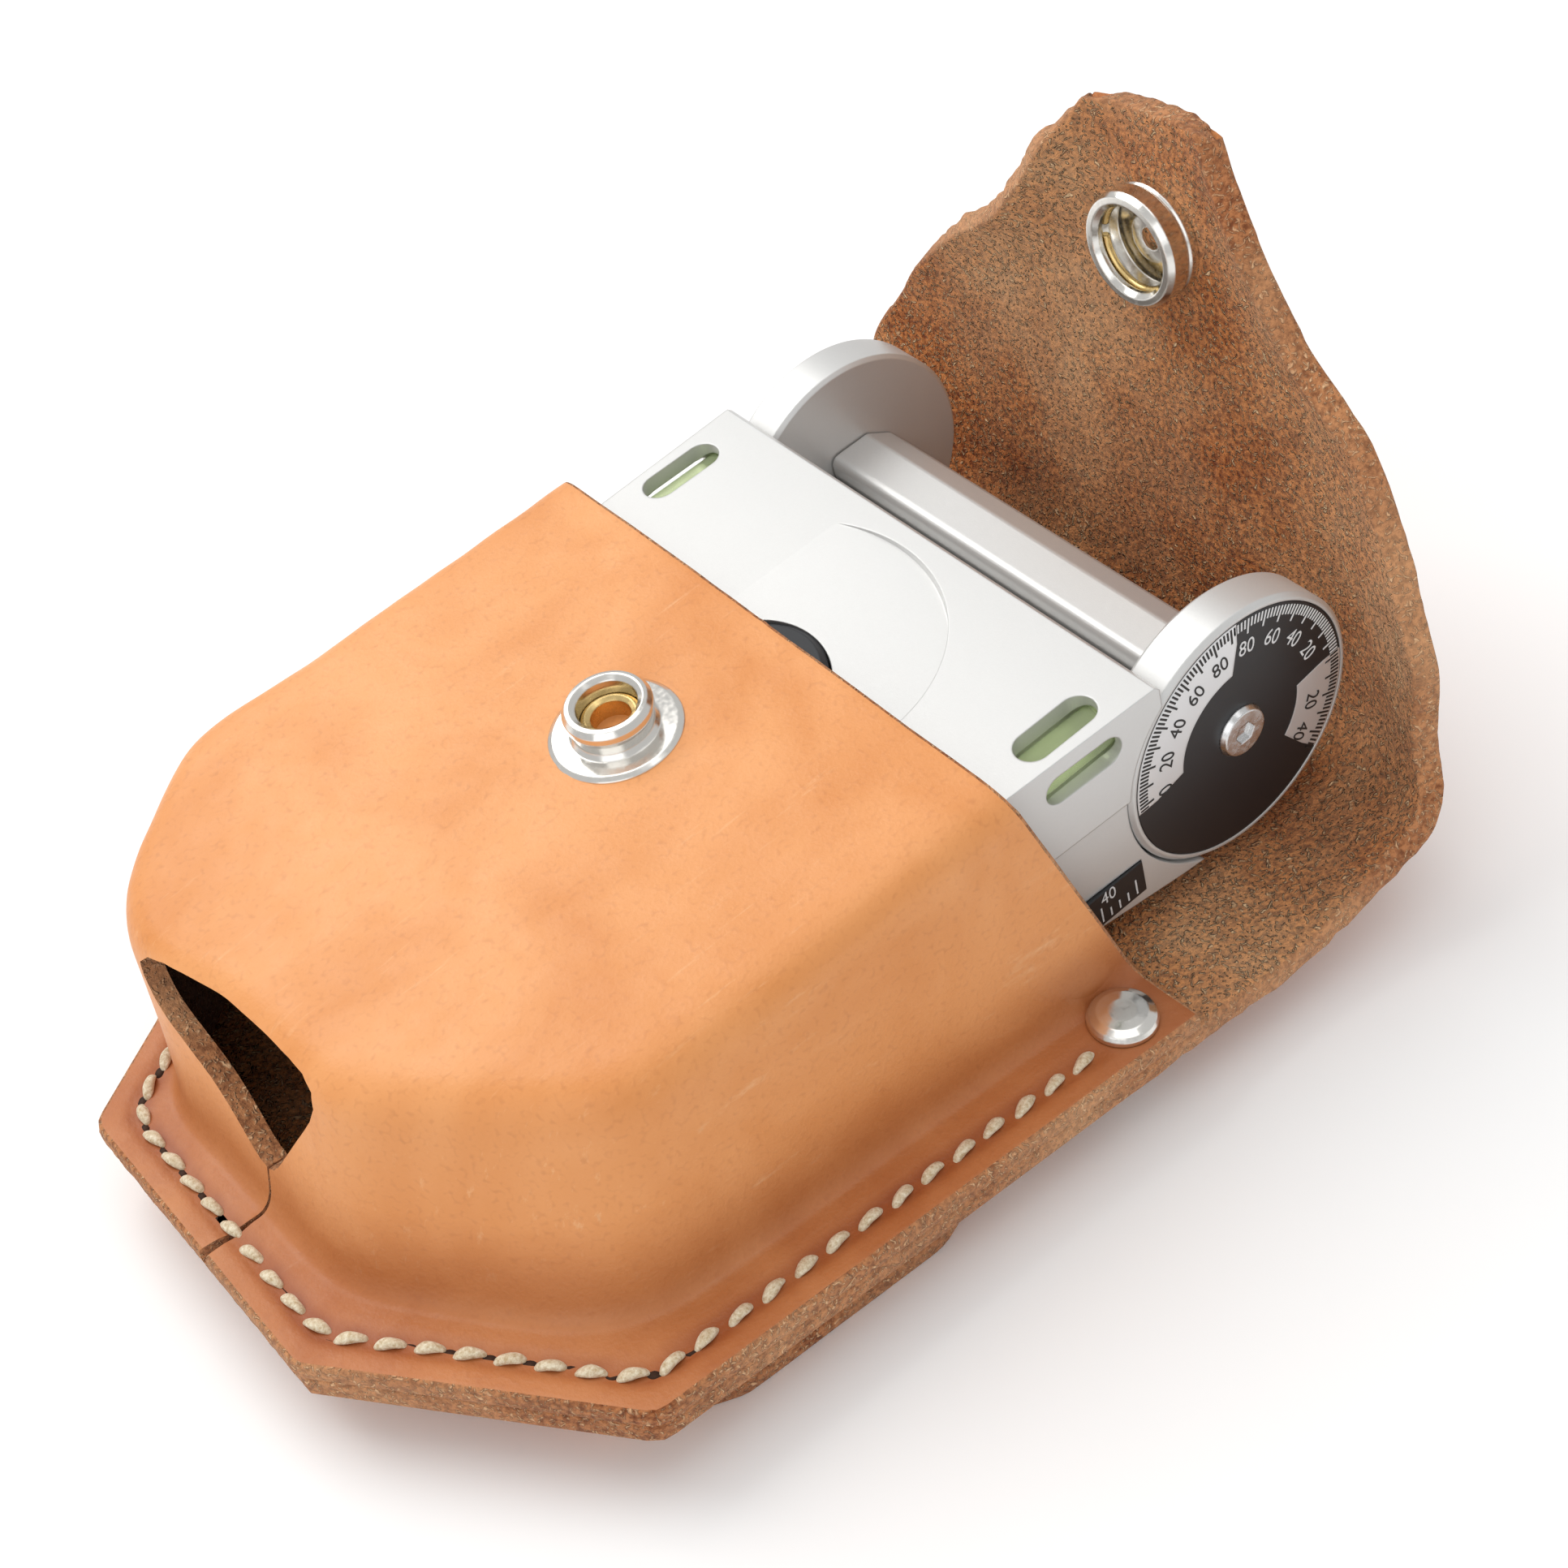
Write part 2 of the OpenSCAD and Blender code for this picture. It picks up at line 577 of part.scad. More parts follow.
module lid_knob() color(black_c) at_transit() translate([-38.8, -0.6, lid_z - 5.9]) union() {
    cylinder(r = 8.8, h = 5.1, $fn = 64);
    translate([0, 0, 5]) cylinder(r1 = 8.8, r2 = 8.1, h = 0.7, $fn = 64);
}

module base_scale() color(black_c) at_transit() translate([-29.9, -disc_y + 0.02, -12.7]) cube([13, 0.56, 5]);

back_panel();
front_pocket();
stitching();
belt_loop();
loop_rivet_upper_left();
loop_rivet_upper_right();
loop_rivet_lower_left();
loop_rivet_lower_right();
tab_rivet_left();
tab_rivet_right();
tab_rivet_cap_left();
tab_rivet_cap_right();
stud_base();
stud_eyelet();
flap_end();
flap_tongue();
socket_shell();
socket_spring();
socket_eyelet();
transit_base();
transit_lid();
hinge_block();
hinge_disc_left();
hinge_disc_right();
hinge_pin();
dial_plate();
dial_screw();
blind_screw();
vial_left();
vial_right();
lid_knob();
base_scale();
cover_plate();
mirror_glass();
compass_glass();
needle_pivot();
compass_needle();
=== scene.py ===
"""Leather case with a pocket transit in it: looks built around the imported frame."""
import json
import math
import random

import bmesh
import bpy
import numpy as np
from mathutils import Matrix, Vector, noise
from mathutils.bvhtree import BVHTree


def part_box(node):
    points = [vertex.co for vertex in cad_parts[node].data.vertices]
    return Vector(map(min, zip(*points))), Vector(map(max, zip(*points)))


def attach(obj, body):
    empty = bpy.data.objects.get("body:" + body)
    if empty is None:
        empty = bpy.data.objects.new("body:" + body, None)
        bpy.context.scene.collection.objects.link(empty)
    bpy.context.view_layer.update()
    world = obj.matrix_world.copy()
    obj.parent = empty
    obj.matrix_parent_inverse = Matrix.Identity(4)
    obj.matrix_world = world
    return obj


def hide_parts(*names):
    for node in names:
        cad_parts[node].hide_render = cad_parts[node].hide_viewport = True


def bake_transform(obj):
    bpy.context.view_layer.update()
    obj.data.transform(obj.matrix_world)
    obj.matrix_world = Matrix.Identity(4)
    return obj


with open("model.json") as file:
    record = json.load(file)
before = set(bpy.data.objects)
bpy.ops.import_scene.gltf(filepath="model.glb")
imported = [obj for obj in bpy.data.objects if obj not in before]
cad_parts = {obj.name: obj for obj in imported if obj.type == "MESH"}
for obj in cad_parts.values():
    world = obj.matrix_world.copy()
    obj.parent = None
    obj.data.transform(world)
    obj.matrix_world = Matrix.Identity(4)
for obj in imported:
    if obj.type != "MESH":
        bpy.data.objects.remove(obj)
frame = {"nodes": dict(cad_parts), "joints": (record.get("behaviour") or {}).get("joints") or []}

SEED = 11
random.seed(SEED)


# ---- the case frame: closed end at x = 0, inner face of the back panel at z = 0, millimetres ----

MM = 0.001
panel_lo, panel_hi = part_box("back_panel")
ORIGIN = np.array([panel_lo.x + 2 * MM, 0, panel_hi.z])
joints = {j["name"]: j for j in frame["joints"]}


def to_row(points):
    return np.asarray(points, float) * MM + ORIGIN


def to_case(points):
    return (np.asarray(points, float) - ORIGIN) / MM


def case_box(node):
    return to_case(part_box(node))


FOLD_X = to_case(joints["flap_fold"]["pos_m"])[0]
HALF_W = panel_hi.y / MM
BACK_T = (panel_hi.z - panel_lo.z) / MM
STAND_X = case_box("flap_tongue")[1, 0] - BACK_T
TIP_Z = case_box("flap_tongue")[1, 2]
SOCKET_Z = case_box("socket_shell").mean(0)[2]
TAB_X = case_box("front_pocket")[1, 0]
POCKET_TOP = case_box("front_pocket")[1, 2]
FRONT_T = case_box("tab_rivet_cap_left")[0, 2]


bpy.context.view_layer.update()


# ---- meshes ----

def linked(name, data):
    """A new object in the scene."""
    obj = bpy.data.objects.new(name, data)
    bpy.context.scene.collection.objects.link(obj)
    return obj


def make_object(name, verts, faces, materials, slots=None, smooth=True):
    """A mesh object from points in the row frame, in metres."""
    mesh = bpy.data.meshes.new(name)
    mesh.from_pydata([tuple(v) for v in verts], [], [tuple(f) for f in faces])
    obj = linked(name, mesh)
    for m in materials:
        mesh.materials.append(m)
    if slots is not None:
        mesh.polygons.foreach_set("material_index", slots)
    mesh.polygons.foreach_set("use_smooth", [smooth] * len(mesh.polygons))
    mesh.update()
    return obj


def clean(obj, distance=2e-6):
    """Joins coincident points and turns all faces outwards."""
    bm = bmesh.new()
    bm.from_mesh(obj.data)
    bmesh.ops.remove_doubles(bm, verts=bm.verts, dist=distance)
    bmesh.ops.dissolve_degenerate(bm, edges=bm.edges, dist=distance / 4)
    bmesh.ops.recalc_face_normals(bm, faces=bm.faces)
    bm.to_mesh(obj.data)
    bm.free()
    obj.data.update()
    return obj


def points_of(obj):
    co = np.zeros(len(obj.data.vertices) * 3)
    obj.data.vertices.foreach_get("co", co)
    return co.reshape(-1, 3)


OUTSIDE = 150.0  # look-ups start this far out


def skin(node):
    """Surface of a CAD node for looking up its shape, in the case frame."""
    mesh = frame["nodes"][node].data
    co = to_case(points_of(frame["nodes"][node]))
    return BVHTree.FromPolygons([Vector(c) for c in co], [tuple(p.vertices) for p in mesh.polygons])


def outer(tree, point, direction):
    """Where a surface is first met on the way from outside towards a point, or None."""
    d = Vector(direction).normalized()
    hit = tree.ray_cast(Vector(point) + d * OUTSIDE, -d)[0]
    return None if hit is None else np.array(hit)


def unit(rows):
    """Each row scaled to length one."""
    return rows / np.maximum(np.linalg.norm(rows, axis=1, keepdims=True), 1e-9)


def lengths(points):
    """Length along a line of points up to each of them."""
    return np.concatenate([[0], np.cumsum(np.linalg.norm(np.diff(points, axis=0), axis=1))])


def resampled(points, at):
    """Points of a flat line at the given lengths along it."""
    along = lengths(points)
    return np.stack([np.interp(at, along, points[:, k]) for k in (0, 1)], 1)


def tube_faces(rings, sides, start=0):
    """Faces of a closed tube whose points lie ring after ring."""
    faces = []
    for i in range(rings - 1):
        low, high = start + i * sides, start + (i + 1) * sides
        for k in range(sides):
            n = (k + 1) % sides
            faces.append((low + k, low + n, high + n, high + k))
    faces.append(tuple(start + k for k in range(sides)))
    faces.append(tuple(start + (rings - 1) * sides + k for k in range(sides - 1, -1, -1)))
    return faces


def smooth_rows(rows, sigma):
    """Rows of numbers averaged with their neighbours; both ends stay in place."""
    rows = np.asarray(rows, float)
    reach = min(int(3 * sigma) + 1, len(rows) - 1)
    kernel = np.exp(-0.5 * (np.arange(-reach, reach + 1) / sigma) ** 2)
    kernel /= kernel.sum()
    padded = np.concatenate([2 * rows[:1] - rows[1:reach + 1][::-1], rows,
                             2 * rows[-1:] - rows[-reach - 1:-1][::-1]])
    return np.stack([np.convolve(padded[:, k], kernel, "valid") for k in range(rows.shape[1])], 1)


def filled(rows):
    """Rows of numbers with missing rows bridged straight across."""
    rows = np.asarray(rows, float)
    known = ~np.isnan(rows).any(1)
    at = np.arange(len(rows))
    return np.stack([np.interp(at, at[known], rows[known, k]) for k in range(rows.shape[1])], 1)


def cut(obj, cutter):
    """Subtracts a cutter from a piece. The cut faces keep the cutter's material index."""
    mod = obj.modifiers.new("cut", "BOOLEAN")
    mod.operation = "DIFFERENCE"
    mod.solver = "EXACT"
    mod.object = cutter
    deps = bpy.context.evaluated_depsgraph_get()
    mesh = bpy.data.meshes.new_from_object(obj.evaluated_get(deps))
    obj.modifiers.clear()
    if len(mesh.polygons) < 0.5 * len(obj.data.polygons):
        raise RuntimeError(f"{obj.name} collapsed when cut by {cutter.name}")
    old, obj.data = obj.data, mesh
    bpy.data.meshes.remove(old)
    bpy.data.objects.remove(cutter)


def mark_sharp(obj, angle):
    """Edges steeper than the angle in degrees stay crisp under smooth shading."""
    bm = bmesh.new()
    bm.from_mesh(obj.data)
    limit = math.radians(angle)
    for e in bm.edges:
        if len(e.link_faces) == 2 and e.calc_face_angle(0) > limit:
            e.smooth = False
    bm.to_mesh(obj.data)
    bm.free()


def soft_noise(co, size, seed=0.0):
    """Smooth noise in -1..1 at points in millimetres."""
    shift = Vector((seed * 7.3, seed * 3.1, seed * 5.7))
    return np.array([noise.noise(Vector(p) / size + shift) for p in co])


def put_attribute(obj, name, values):
    kind = "FLOAT" if np.ndim(values) == 1 else "FLOAT_VECTOR"
    attr = obj.data.attributes.new(name, kind, "POINT")
    key = "value" if kind == "FLOAT" else "vector"
    attr.data.foreach_set(key, np.asarray(values, np.float32).ravel())


def remember_rest(obj):
    """Keeps the rest position in millimetres, so that the grain stays put when the leather bends."""
    put_attribute(obj, "rest", to_case(points_of(obj)))


def leather_piece(obj, stain_and_shade, *nodes):
    """Stores a leather piece's darkening, partly stain and partly painted shade, and lets it stand for
    CAD nodes.
    """
    put_attribute(obj, "stain_and_shade", stain_and_shade)
    remember_rest(obj)
    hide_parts(*nodes)
    return obj


def grid_normals(grid):
    """Unit normals of an (n, m, 3) grid of points."""
    du = np.gradient(grid, axis=0)
    dv = np.gradient(grid, axis=1)
    n = np.cross(du, dv)
    length = np.linalg.norm(n, axis=2, keepdims=True)
    bad = length[..., 0] < 1e-6
    n = n / np.maximum(length, 1e-9)
    for j in range(grid.shape[1]):
        if bad[:, j].any() and j > 0:
            n[bad[:, j], j] = n[bad[:, j], j - 1]
    return n


RIM_OUT = 0.52  # how far a cut edge bulges
RIM_POWER = 2.8  # 2 is an ellipse, more is squarer


def rim_profile(t):
    """Round-edged rim of leather t thick: pairs of (outwards, down) along a superellipse."""
    across = np.cos(np.radians(np.linspace(18, 162, 9)))
    return [(RIM_OUT * (1 - abs(u) ** RIM_POWER) ** (1 / RIM_POWER), t * (1 - u) / 2) for u in across]


FACE, BACK, EDGE = 0, 1, 2


def leather_sheet(name, grid, normals, t, materials, loop, fray=0.1):
    """A closed sheet of leather t thick below a grid of points, with a rounded, slightly frayed rim.

    loop lists the grid indices round the open border, in order."""
    n, m = grid.shape[:2]
    under = grid - normals * t
    verts = [grid.reshape(-1, 3), under.reshape(-1, 3)]
    faces, slots = [], []
    for i in range(n - 1):
        for j in range(m - 1):
            a, b, c, d = i * m + j, (i + 1) * m + j, (i + 1) * m + j + 1, i * m + j + 1
            faces.append((a, b, c, d))
            slots.append(FACE)
            faces.append((a + n * m, d + n * m, c + n * m, b + n * m))
            slots.append(BACK)
    ring = np.array([grid[i, j] for i, j in loop])
    ring_n = np.array([normals[i, j] for i, j in loop])
    tangent = unit(np.roll(ring, -1, 0) - np.roll(ring, 1, 0))
    out = unit(np.cross(tangent, ring_n))
    middle = grid.reshape(-1, 3).mean(0)
    if ((ring - middle) * out).sum() < 0:
        out = -out
    rows = [np.array([i * m + j for i, j in loop])]
    count = 2 * n * m
    profile = rim_profile(t)
    for k, (o, down) in enumerate(profile):
        rough = fray * soft_noise(ring + [0, 0, 1.7 * k], 0.9, k) if 1 < k < len(profile) - 2 else 0
        rough = np.reshape(rough, (-1, 1)) if np.ndim(rough) else rough
        verts.append(ring + out * (o + rough) - ring_n * down)
        rows.append(np.arange(count, count + len(loop)))
        count += len(loop)
    rows.append(rows[0] + n * m)
    for k in range(len(rows) - 1):
        for i in range(len(loop)):
            j = (i + 1) % len(loop)
            faces.append((rows[k][i], rows[k][j], rows[k + 1][j], rows[k + 1][i]))
            slots.append(EDGE)
    obj = make_object(name, to_row(np.concatenate(verts)), faces, materials, slots)
    return clean(obj)


def border(n, m):
    """Indices round the border of an n by m grid."""
    loop = [(i, 0) for i in range(n)] + [(n - 1, j) for j in range(1, m)]
    loop += [(i, m - 1) for i in range(n - 2, -1, -1)] + [(0, j) for j in range(m - 2, 0, -1)]
    return loop


def smoothstep(a, b, x):
    t = np.clip((np.asarray(x, float) - a) / (b - a), 0, 1)
    return t * t * (3 - 2 * t)


# ---- materials ----

class Nodes:
    """Short notation for a material's node tree."""

    def __init__(self, name):
        self.mat = bpy.data.materials.new(name)
        self.mat.use_nodes = True
        self.tree = self.mat.node_tree
        self.tree.nodes.clear()
        self.out = self.tree.nodes.new("ShaderNodeOutputMaterial")

    def set(self, node, key, value):
        socket = node.inputs[key]
        if isinstance(value, bpy.types.NodeSocket):
            self.tree.links.new(value, socket)
        elif isinstance(value, tuple) and len(value) == 3 and socket.type == "RGBA":
            socket.default_value = (*value, 1)
        else:
            socket.default_value = value

    def add(self, kind, inputs=(), **props):
        node = self.tree.nodes.new("ShaderNode" + kind)
        for key, value in props.items():
            setattr(node, key, value)
        for key, value in dict(inputs).items():
            self.set(node, key, value)
        return node

    def rest(self):
        return self.add("Attribute", attribute_name="rest").outputs["Vector"]

    def place(self):
        return self.add("TexCoord").outputs["Object"]

    def maths(self, operation, a, b=0.0, c=0.0, clamp=False):
        return self.add("Math", {0: a, 1: b, 2: c}, operation=operation, use_clamp=clamp).outputs[0]

    def vector(self, operation, a, b=(0, 0, 0), output=0):
        return self.add("VectorMath", {0: a, 1: b}, operation=operation).outputs[output]

    def scale(self, v, factor):
        return self.add("VectorMath", {0: v, "Scale": factor}, operation="SCALE").outputs[0]

    def noise(self, at, scale, detail=2.0, rough=0.5, distortion=0.0, output=0):
        return self.add("TexNoise", {"Vector": at, "Scale": scale, "Detail": detail, "Roughness": rough,
                                     "Distortion": distortion}).outputs[output]

    def bevel(self):
        return self.add("Bevel", {"Radius": 0.0003}, samples=6).outputs[0]

    def bump(self, height, distance, strength, over=None):
        inputs = {"Height": height, "Distance": distance, "Strength": strength}
        if over is not None:
            inputs["Normal"] = over
        return self.add("Bump", inputs).outputs[0]

    def remap(self, value, a, b, lo=0.0, hi=1.0):
        return self.add("MapRange", {0: value, 1: a, 2: b, 3: lo, 4: hi}).outputs[0]

    def mix(self, factor, a, b, blend="MIX"):
        node = self.add("Mix", data_type="RGBA", blend_type=blend)
        self.set(node, 0, factor)
        self.set(node, 6, a)
        self.set(node, 7, b)
        return node.outputs[2]

    def finish(self, **inputs):
        names = {"color": "Base Color", "rough": "Roughness", "metal": "Metallic", "normal": "Normal",
                 "sheen": "Sheen Weight", "coat": "Coat Weight", "coat_rough": "Coat Roughness",
                 "specular": "Specular IOR Level", "trans": "Transmission Weight", "ior": "IOR",
                 "sheen_rough": "Sheen Roughness"}
        shader = self.add("BsdfPrincipled", {names[k]: v for k, v in inputs.items()})
        self.tree.links.new(shader.outputs[0], self.out.inputs[0])
        return self.mat


def srgb(text):
    """Linear colour from six hexadecimal digits."""
    values = [int(text[i:i + 2], 16) / 255 for i in (0, 2, 4)]
    return tuple(v / 12.92 if v <= 0.04045 else ((v + 0.055) / 1.055) ** 2.4 for v in values)


def fibres(s, at, cell, width, curl, seed):
    """One layer of short curly fibres: (height 0..1, random 0..1 of each fibre)."""
    warp = s.add("TexNoise", {"Vector": at, "Scale": 0.9, "Detail": 1.0}).outputs["Color"]
    bent = s.vector("ADD", at, s.scale(s.vector("SUBTRACT", warp, (0.5, 0.5, 0.5)), curl))
    moved = s.vector("ADD", bent, (seed * 3.7, seed * 1.9, seed * 5.3))
    cells = s.add("TexVoronoi", {"Vector": moved, "Scale": 1.0 / cell, "Randomness": 1.0})
    local = s.vector("SUBTRACT", moved, cells.outputs["Position"])
    aim = s.vector("NORMALIZE", s.vector("SUBTRACT", cells.outputs["Color"], (0.5, 0.5, 0.5)))
    along = s.vector("DOT_PRODUCT", local, aim, output=1)
    across = s.vector("LENGTH", s.vector("SUBTRACT", local, s.scale(aim, along)), output=1)
    height = s.remap(across, width, width * 0.25)
    chance = s.add("SeparateColor", {0: cells.outputs["Color"]}).outputs[2]
    return height, chance


FIBRE_LAYERS = [(1.15, 0.2), (1.35, 0.17), (0.95, 0.15), (1.6, 0.2)]  # spacing and width, millimetres
FIBRE_CURL = 1.3
DAMP = srgb("B08468")  # tint of the darker patches of the suede
SCUFF = srgb("FBD5A8")


def suede_colours(name, dark, middle, light, strength=1.0):
    """Rough flesh side of the leather: tangled short fibres with painted highlights on their tops, over a
    ground with painted shade in its pits.
    """
    s = Nodes(name)
    at = s.rest()
    tops, fibre_highlight = None, None
    for k, (cell, width) in enumerate(FIBRE_LAYERS):
        height, chance = fibres(s, at, cell, width, FIBRE_CURL, k + 1)
        # painted highlight on the fibre tops, brighter on some fibres than on others
        lit = s.maths("MULTIPLY", height, s.maths("MULTIPLY_ADD", chance, 0.75, 0.35))
        tops = height if tops is None else s.maths("MAXIMUM", tops, height)
        fibre_highlight = lit if fibre_highlight is None else s.maths("MAXIMUM", fibre_highlight, lit)
    patches = s.noise(at, 0.035, 3.0, 0.6)
    pits = s.noise(at, 1.3, 3.0, 0.65)
    # painted shade: the ground darkens in the pits of the bump
    ground = s.mix(s.remap(pits, 0.36, 0.62), dark, middle)
    colour = s.mix(fibre_highlight, ground, light)
    colour = s.mix(s.remap(patches, 0.35, 0.7, 0.0, 0.38), colour, light)
    damp = s.remap(s.noise(at, 0.06, 2.0), 0.42, 0.7, 0.0, 0.35)
    colour = s.mix(damp, colour, DAMP, "MULTIPLY")
    relief = s.maths("ADD", s.maths("MULTIPLY", tops, 0.5), s.maths("MULTIPLY", pits, 0.7))
    normal = s.bump(relief, 0.00045, strength)
    return s.finish(color=colour, rough=0.95, normal=normal, specular=0.15, sheen=0.08, sheen_rough=0.6)


def grain_leather(name, light, deep, dark):
    """Smooth vegetable-tanned face: fine pebbles, blotches, faint scuffs; a point attribute of stain and
    painted shade darkens it.
    """
    s = Nodes(name)
    at = s.rest()
    stain_and_shade = s.add("Attribute", attribute_name="stain_and_shade").outputs["Fac"]
    wrinkled = s.vector("ADD", at, s.scale(s.noise(at, 0.8, 2.0, output=1), 0.5))
    pebbles = s.add("TexVoronoi", {"Vector": wrinkled, "Scale": 1.9}, feature="SMOOTH_F1").outputs[0]
    fine = s.noise(at, 3.2, 3.0, 0.6)
    blotches = s.noise(at, 0.045, 4.0, 0.55, 0.6)
    clouds = s.noise(at, 0.016, 2.0, 0.5)
    stretch = {"Vector": at, "Rotation": (0, 0, 0.35), "Scale": (0.25, 3.0, 1.0)}
    slanted = s.add("Mapping", stretch).outputs[0]
    scuffs = s.remap(s.noise(slanted, 0.35, 5.0, 0.7), 0.6, 0.78)
    worn = s.remap(s.noise(at, 0.03, 2.0), 0.45, 0.65)
    scuffs = s.maths("MULTIPLY", scuffs, worn)
    colour = s.mix(s.remap(blotches, 0.38, 0.66), light, deep)
    colour = s.mix(s.remap(clouds, 0.35, 0.65, 0.0, 0.45), colour, deep)
    colour = s.mix(s.maths("MULTIPLY", scuffs, 0.5), colour, SCUFF)
    pores = s.remap(pebbles, 0.5, 0.85, 0.0, 0.2)
    colour = s.mix(pores, colour, dark)
    # darkening from the piece's attribute, partly stain and partly painted shade
    stained_and_shaded = s.maths("MULTIPLY", stain_and_shade, s.remap(blotches, 0.3, 0.7, 0.75, 1.1), clamp=True)
    colour = s.mix(stained_and_shaded, colour, dark)
    height = s.maths("ADD", s.maths("MULTIPLY", pebbles, 0.45), s.maths("MULTIPLY", fine, 0.5))
    normal = s.bump(height, 0.00016, 0.55)
    rough = s.remap(s.noise(at, 0.3, 3.0), 0.3, 0.7, 0.42, 0.56)
    return s.finish(color=colour, rough=rough, normal=normal, specular=0.42, coat=0.12, coat_rough=0.3)


def bead_blasted(name, tint, rough, metal):
    s = Nodes(name)
    at = s.place()
    grit = s.noise(at, 5200.0, 3.0, 0.7)
    normal = s.bump(grit, 0.00003, 0.35, s.bevel())
    shade = s.remap(s.noise(at, 2600.0, 2.0), 0.3, 0.7, 0.0, 0.1)
    colour = s.mix(shade, tint, tuple(0.86 * c for c in tint))
    return s.finish(color=colour, rough=rough, metal=metal, normal=normal)


def bright_metal(name, tint, rough=0.12):
    s = Nodes(name)
    at = s.place()
    soft = s.bevel()
    normal = s.bump(s.noise(at, 900.0, 4.0, 0.6), 0.00002, 0.15, soft)
    roughness = s.remap(s.noise(at, 1500.0, 3.0), 0.35, 0.7, rough, rough + 0.12)
    return s.finish(color=tint, rough=roughness, metal=1.0, normal=normal)


def plain(name, tint, rough, speckle=0.0, **more):
    s = Nodes(name)
    at = s.place()
    soft = s.bevel()
    normal = s.bump(s.noise(at, 3000.0, 3.0, 0.6), 0.00003, speckle, soft)
    return s.finish(color=tint, rough=rough, normal=normal, **more)


def wax_thread(name):
    s = Nodes(name)
    at = s.rest()
    strands = s.noise(at, 2.4, 4.0, 0.7)
    colour = s.mix(s.remap(strands, 0.3, 0.7), srgb("B59A6E"), srgb("F3EBD2"))
    return s.finish(color=colour, rough=0.6, normal=s.bump(strands, 0.0002, 0.5), sheen=0.2)


GRAIN = grain_leather("grain_leather", srgb("F0A96C"), srgb("DE904E"), srgb("9A5228"))
GRAIN_FLAP = grain_leather("grain_leather_flap", srgb("E29A5C"), srgb("CC7A3C"), srgb("94502A"))
SUEDE = suede_colours("suede", srgb("7A3A14"), srgb("D88A4C"), srgb("FFDAAA"), 1.7)
SUEDE_DARK = suede_colours("suede_shaded", srgb("3A2415"), srgb("6E4A33"), srgb("A98B73"))
CUT_EDGE = suede_colours("cut_edge", srgb("743C1C"), srgb("BE7E50"), srgb("F0C294"), 1.0)
THREAD = wax_thread("waxed_thread")
NICKEL = bright_metal("nickel", (0.80, 0.78, 0.74))
BRASS = bright_metal("brass", (0.78, 0.57, 0.25), 0.2)
ALLOY = bead_blasted("satin_alloy", (0.70, 0.70, 0.69), 0.42, 0.55)
STEEL = bright_metal("steel", (0.75, 0.75, 0.75), 0.2)
BLACK = plain("black_plate", (0.012, 0.012, 0.014), 0.38, 0.1)
RUBBER = plain("black_knob", (0.02, 0.022, 0.026), 0.5, 0.4)
SILVER = plain("silver_print", (0.8, 0.81, 0.82), 0.32, 0.1, metal=0.6)
WHITE = plain("white_print", (0.9, 0.9, 0.9), 0.4)
INK = plain("dark_print", (0.02, 0.02, 0.02), 0.4)
# painted shade: the dark inside of the awl holes
HOLE_SHADE = plain("painted_hole_shade", srgb("3B2416"), 0.9)
VIAL = plain("green_vial", (0.86, 0.97, 0.62), 0.05, trans=0.8, ior=1.3)
MIRROR = bright_metal("mirror", (0.9, 0.9, 0.9), 0.02)
GLASS = plain("clear_glass", (0.95, 0.97, 0.97), 0.03, trans=1.0, ior=1.45)
NEEDLE = plain("needle_steel", (0.05, 0.07, 0.12), 0.3, metal=0.8)


# ---- the moulded pocket ----

POCKET_SKIN = skin("front_pocket")
FRONT_SPOTS = [outer(POCKET_SKIN, (x, HALF_W / 2.5, 0), (0, 0, 1)) for x in (TAB_X * 0.35, TAB_X * 0.75)]
SLOPE = (FRONT_SPOTS[1][2] - FRONT_SPOTS[0][2]) / (FRONT_SPOTS[1][0] - FRONT_SPOTS[0][0])
TILT = math.atan(SLOPE)
MOUTH_X = FRONT_SPOTS[1][0] + (POCKET_TOP - FRONT_SPOTS[1][2]) / SLOPE


def front_z(x):
    """Height of the pocket's front face."""
    return POCKET_TOP - (MOUTH_X - x) * SLOPE


SWELL = 2.6  # how far the worn leather bulges out of the left corner of the closed end
FAN_X = MOUTH_X / 2  # sections run straight across up to here, then fan out around the closed end
STATION_STEP = 1.15
RIDGE_DROP = 1.3  # how far under the front face the ridge is looked up
FOOT_LIFT = 1.0  # how far above the flange the wall's foot is looked up
FLANGE_ROUND = 3.6  # lengths over which the section turns at the flange, the foot and the ridge
FOOT_ROUND = 6.5
RIDGE_ROUND = 9.5
CROWN = 0.35  # how far the front face rises towards its middle
WIDEST_FLANGE = 16  # a wider one means that a look-up missed the pocket


def edge_at(x, d):
    return outer(POCKET_SKIN, (x, 0, FRONT_T / 2), d)


def foot_at(x, d):
    return outer(POCKET_SKIN, (min(x, TAB_X - 4), 0, FRONT_T + FOOT_LIFT), d)


def ridge_at(x, d):
    x = min(x, MOUTH_X - 1)
    z = front_z(x) - RIDGE_DROP
    for _ in range(4):
        hit = outer(POCKET_SKIN, (x, 0, z), d)
        if hit is None:
            return None
        z = front_z(hit[0]) - RIDGE_DROP
    return hit


def station(flange_x, ridge_x, spine_x, d):
    """Flange edge, wall foot, ridge (x, y) and spine x of one section, from the CAD pocket."""
    hits = [edge_at(flange_x, d), foot_at(flange_x, d), ridge_at(ridge_x, d)]
    if any(h is None for h in hits) or np.hypot(*(hits[0] - hits[1])[:2]) > WIDEST_FLANGE:
        return [math.nan] * 7
    row = [v for h in hits for v in h[:2]] + [spine_x]
    if abs(d[0]) < 1e-9:
        row[0], row[2], row[4] = flange_x, flange_x - 0.4, ridge_x
    return row


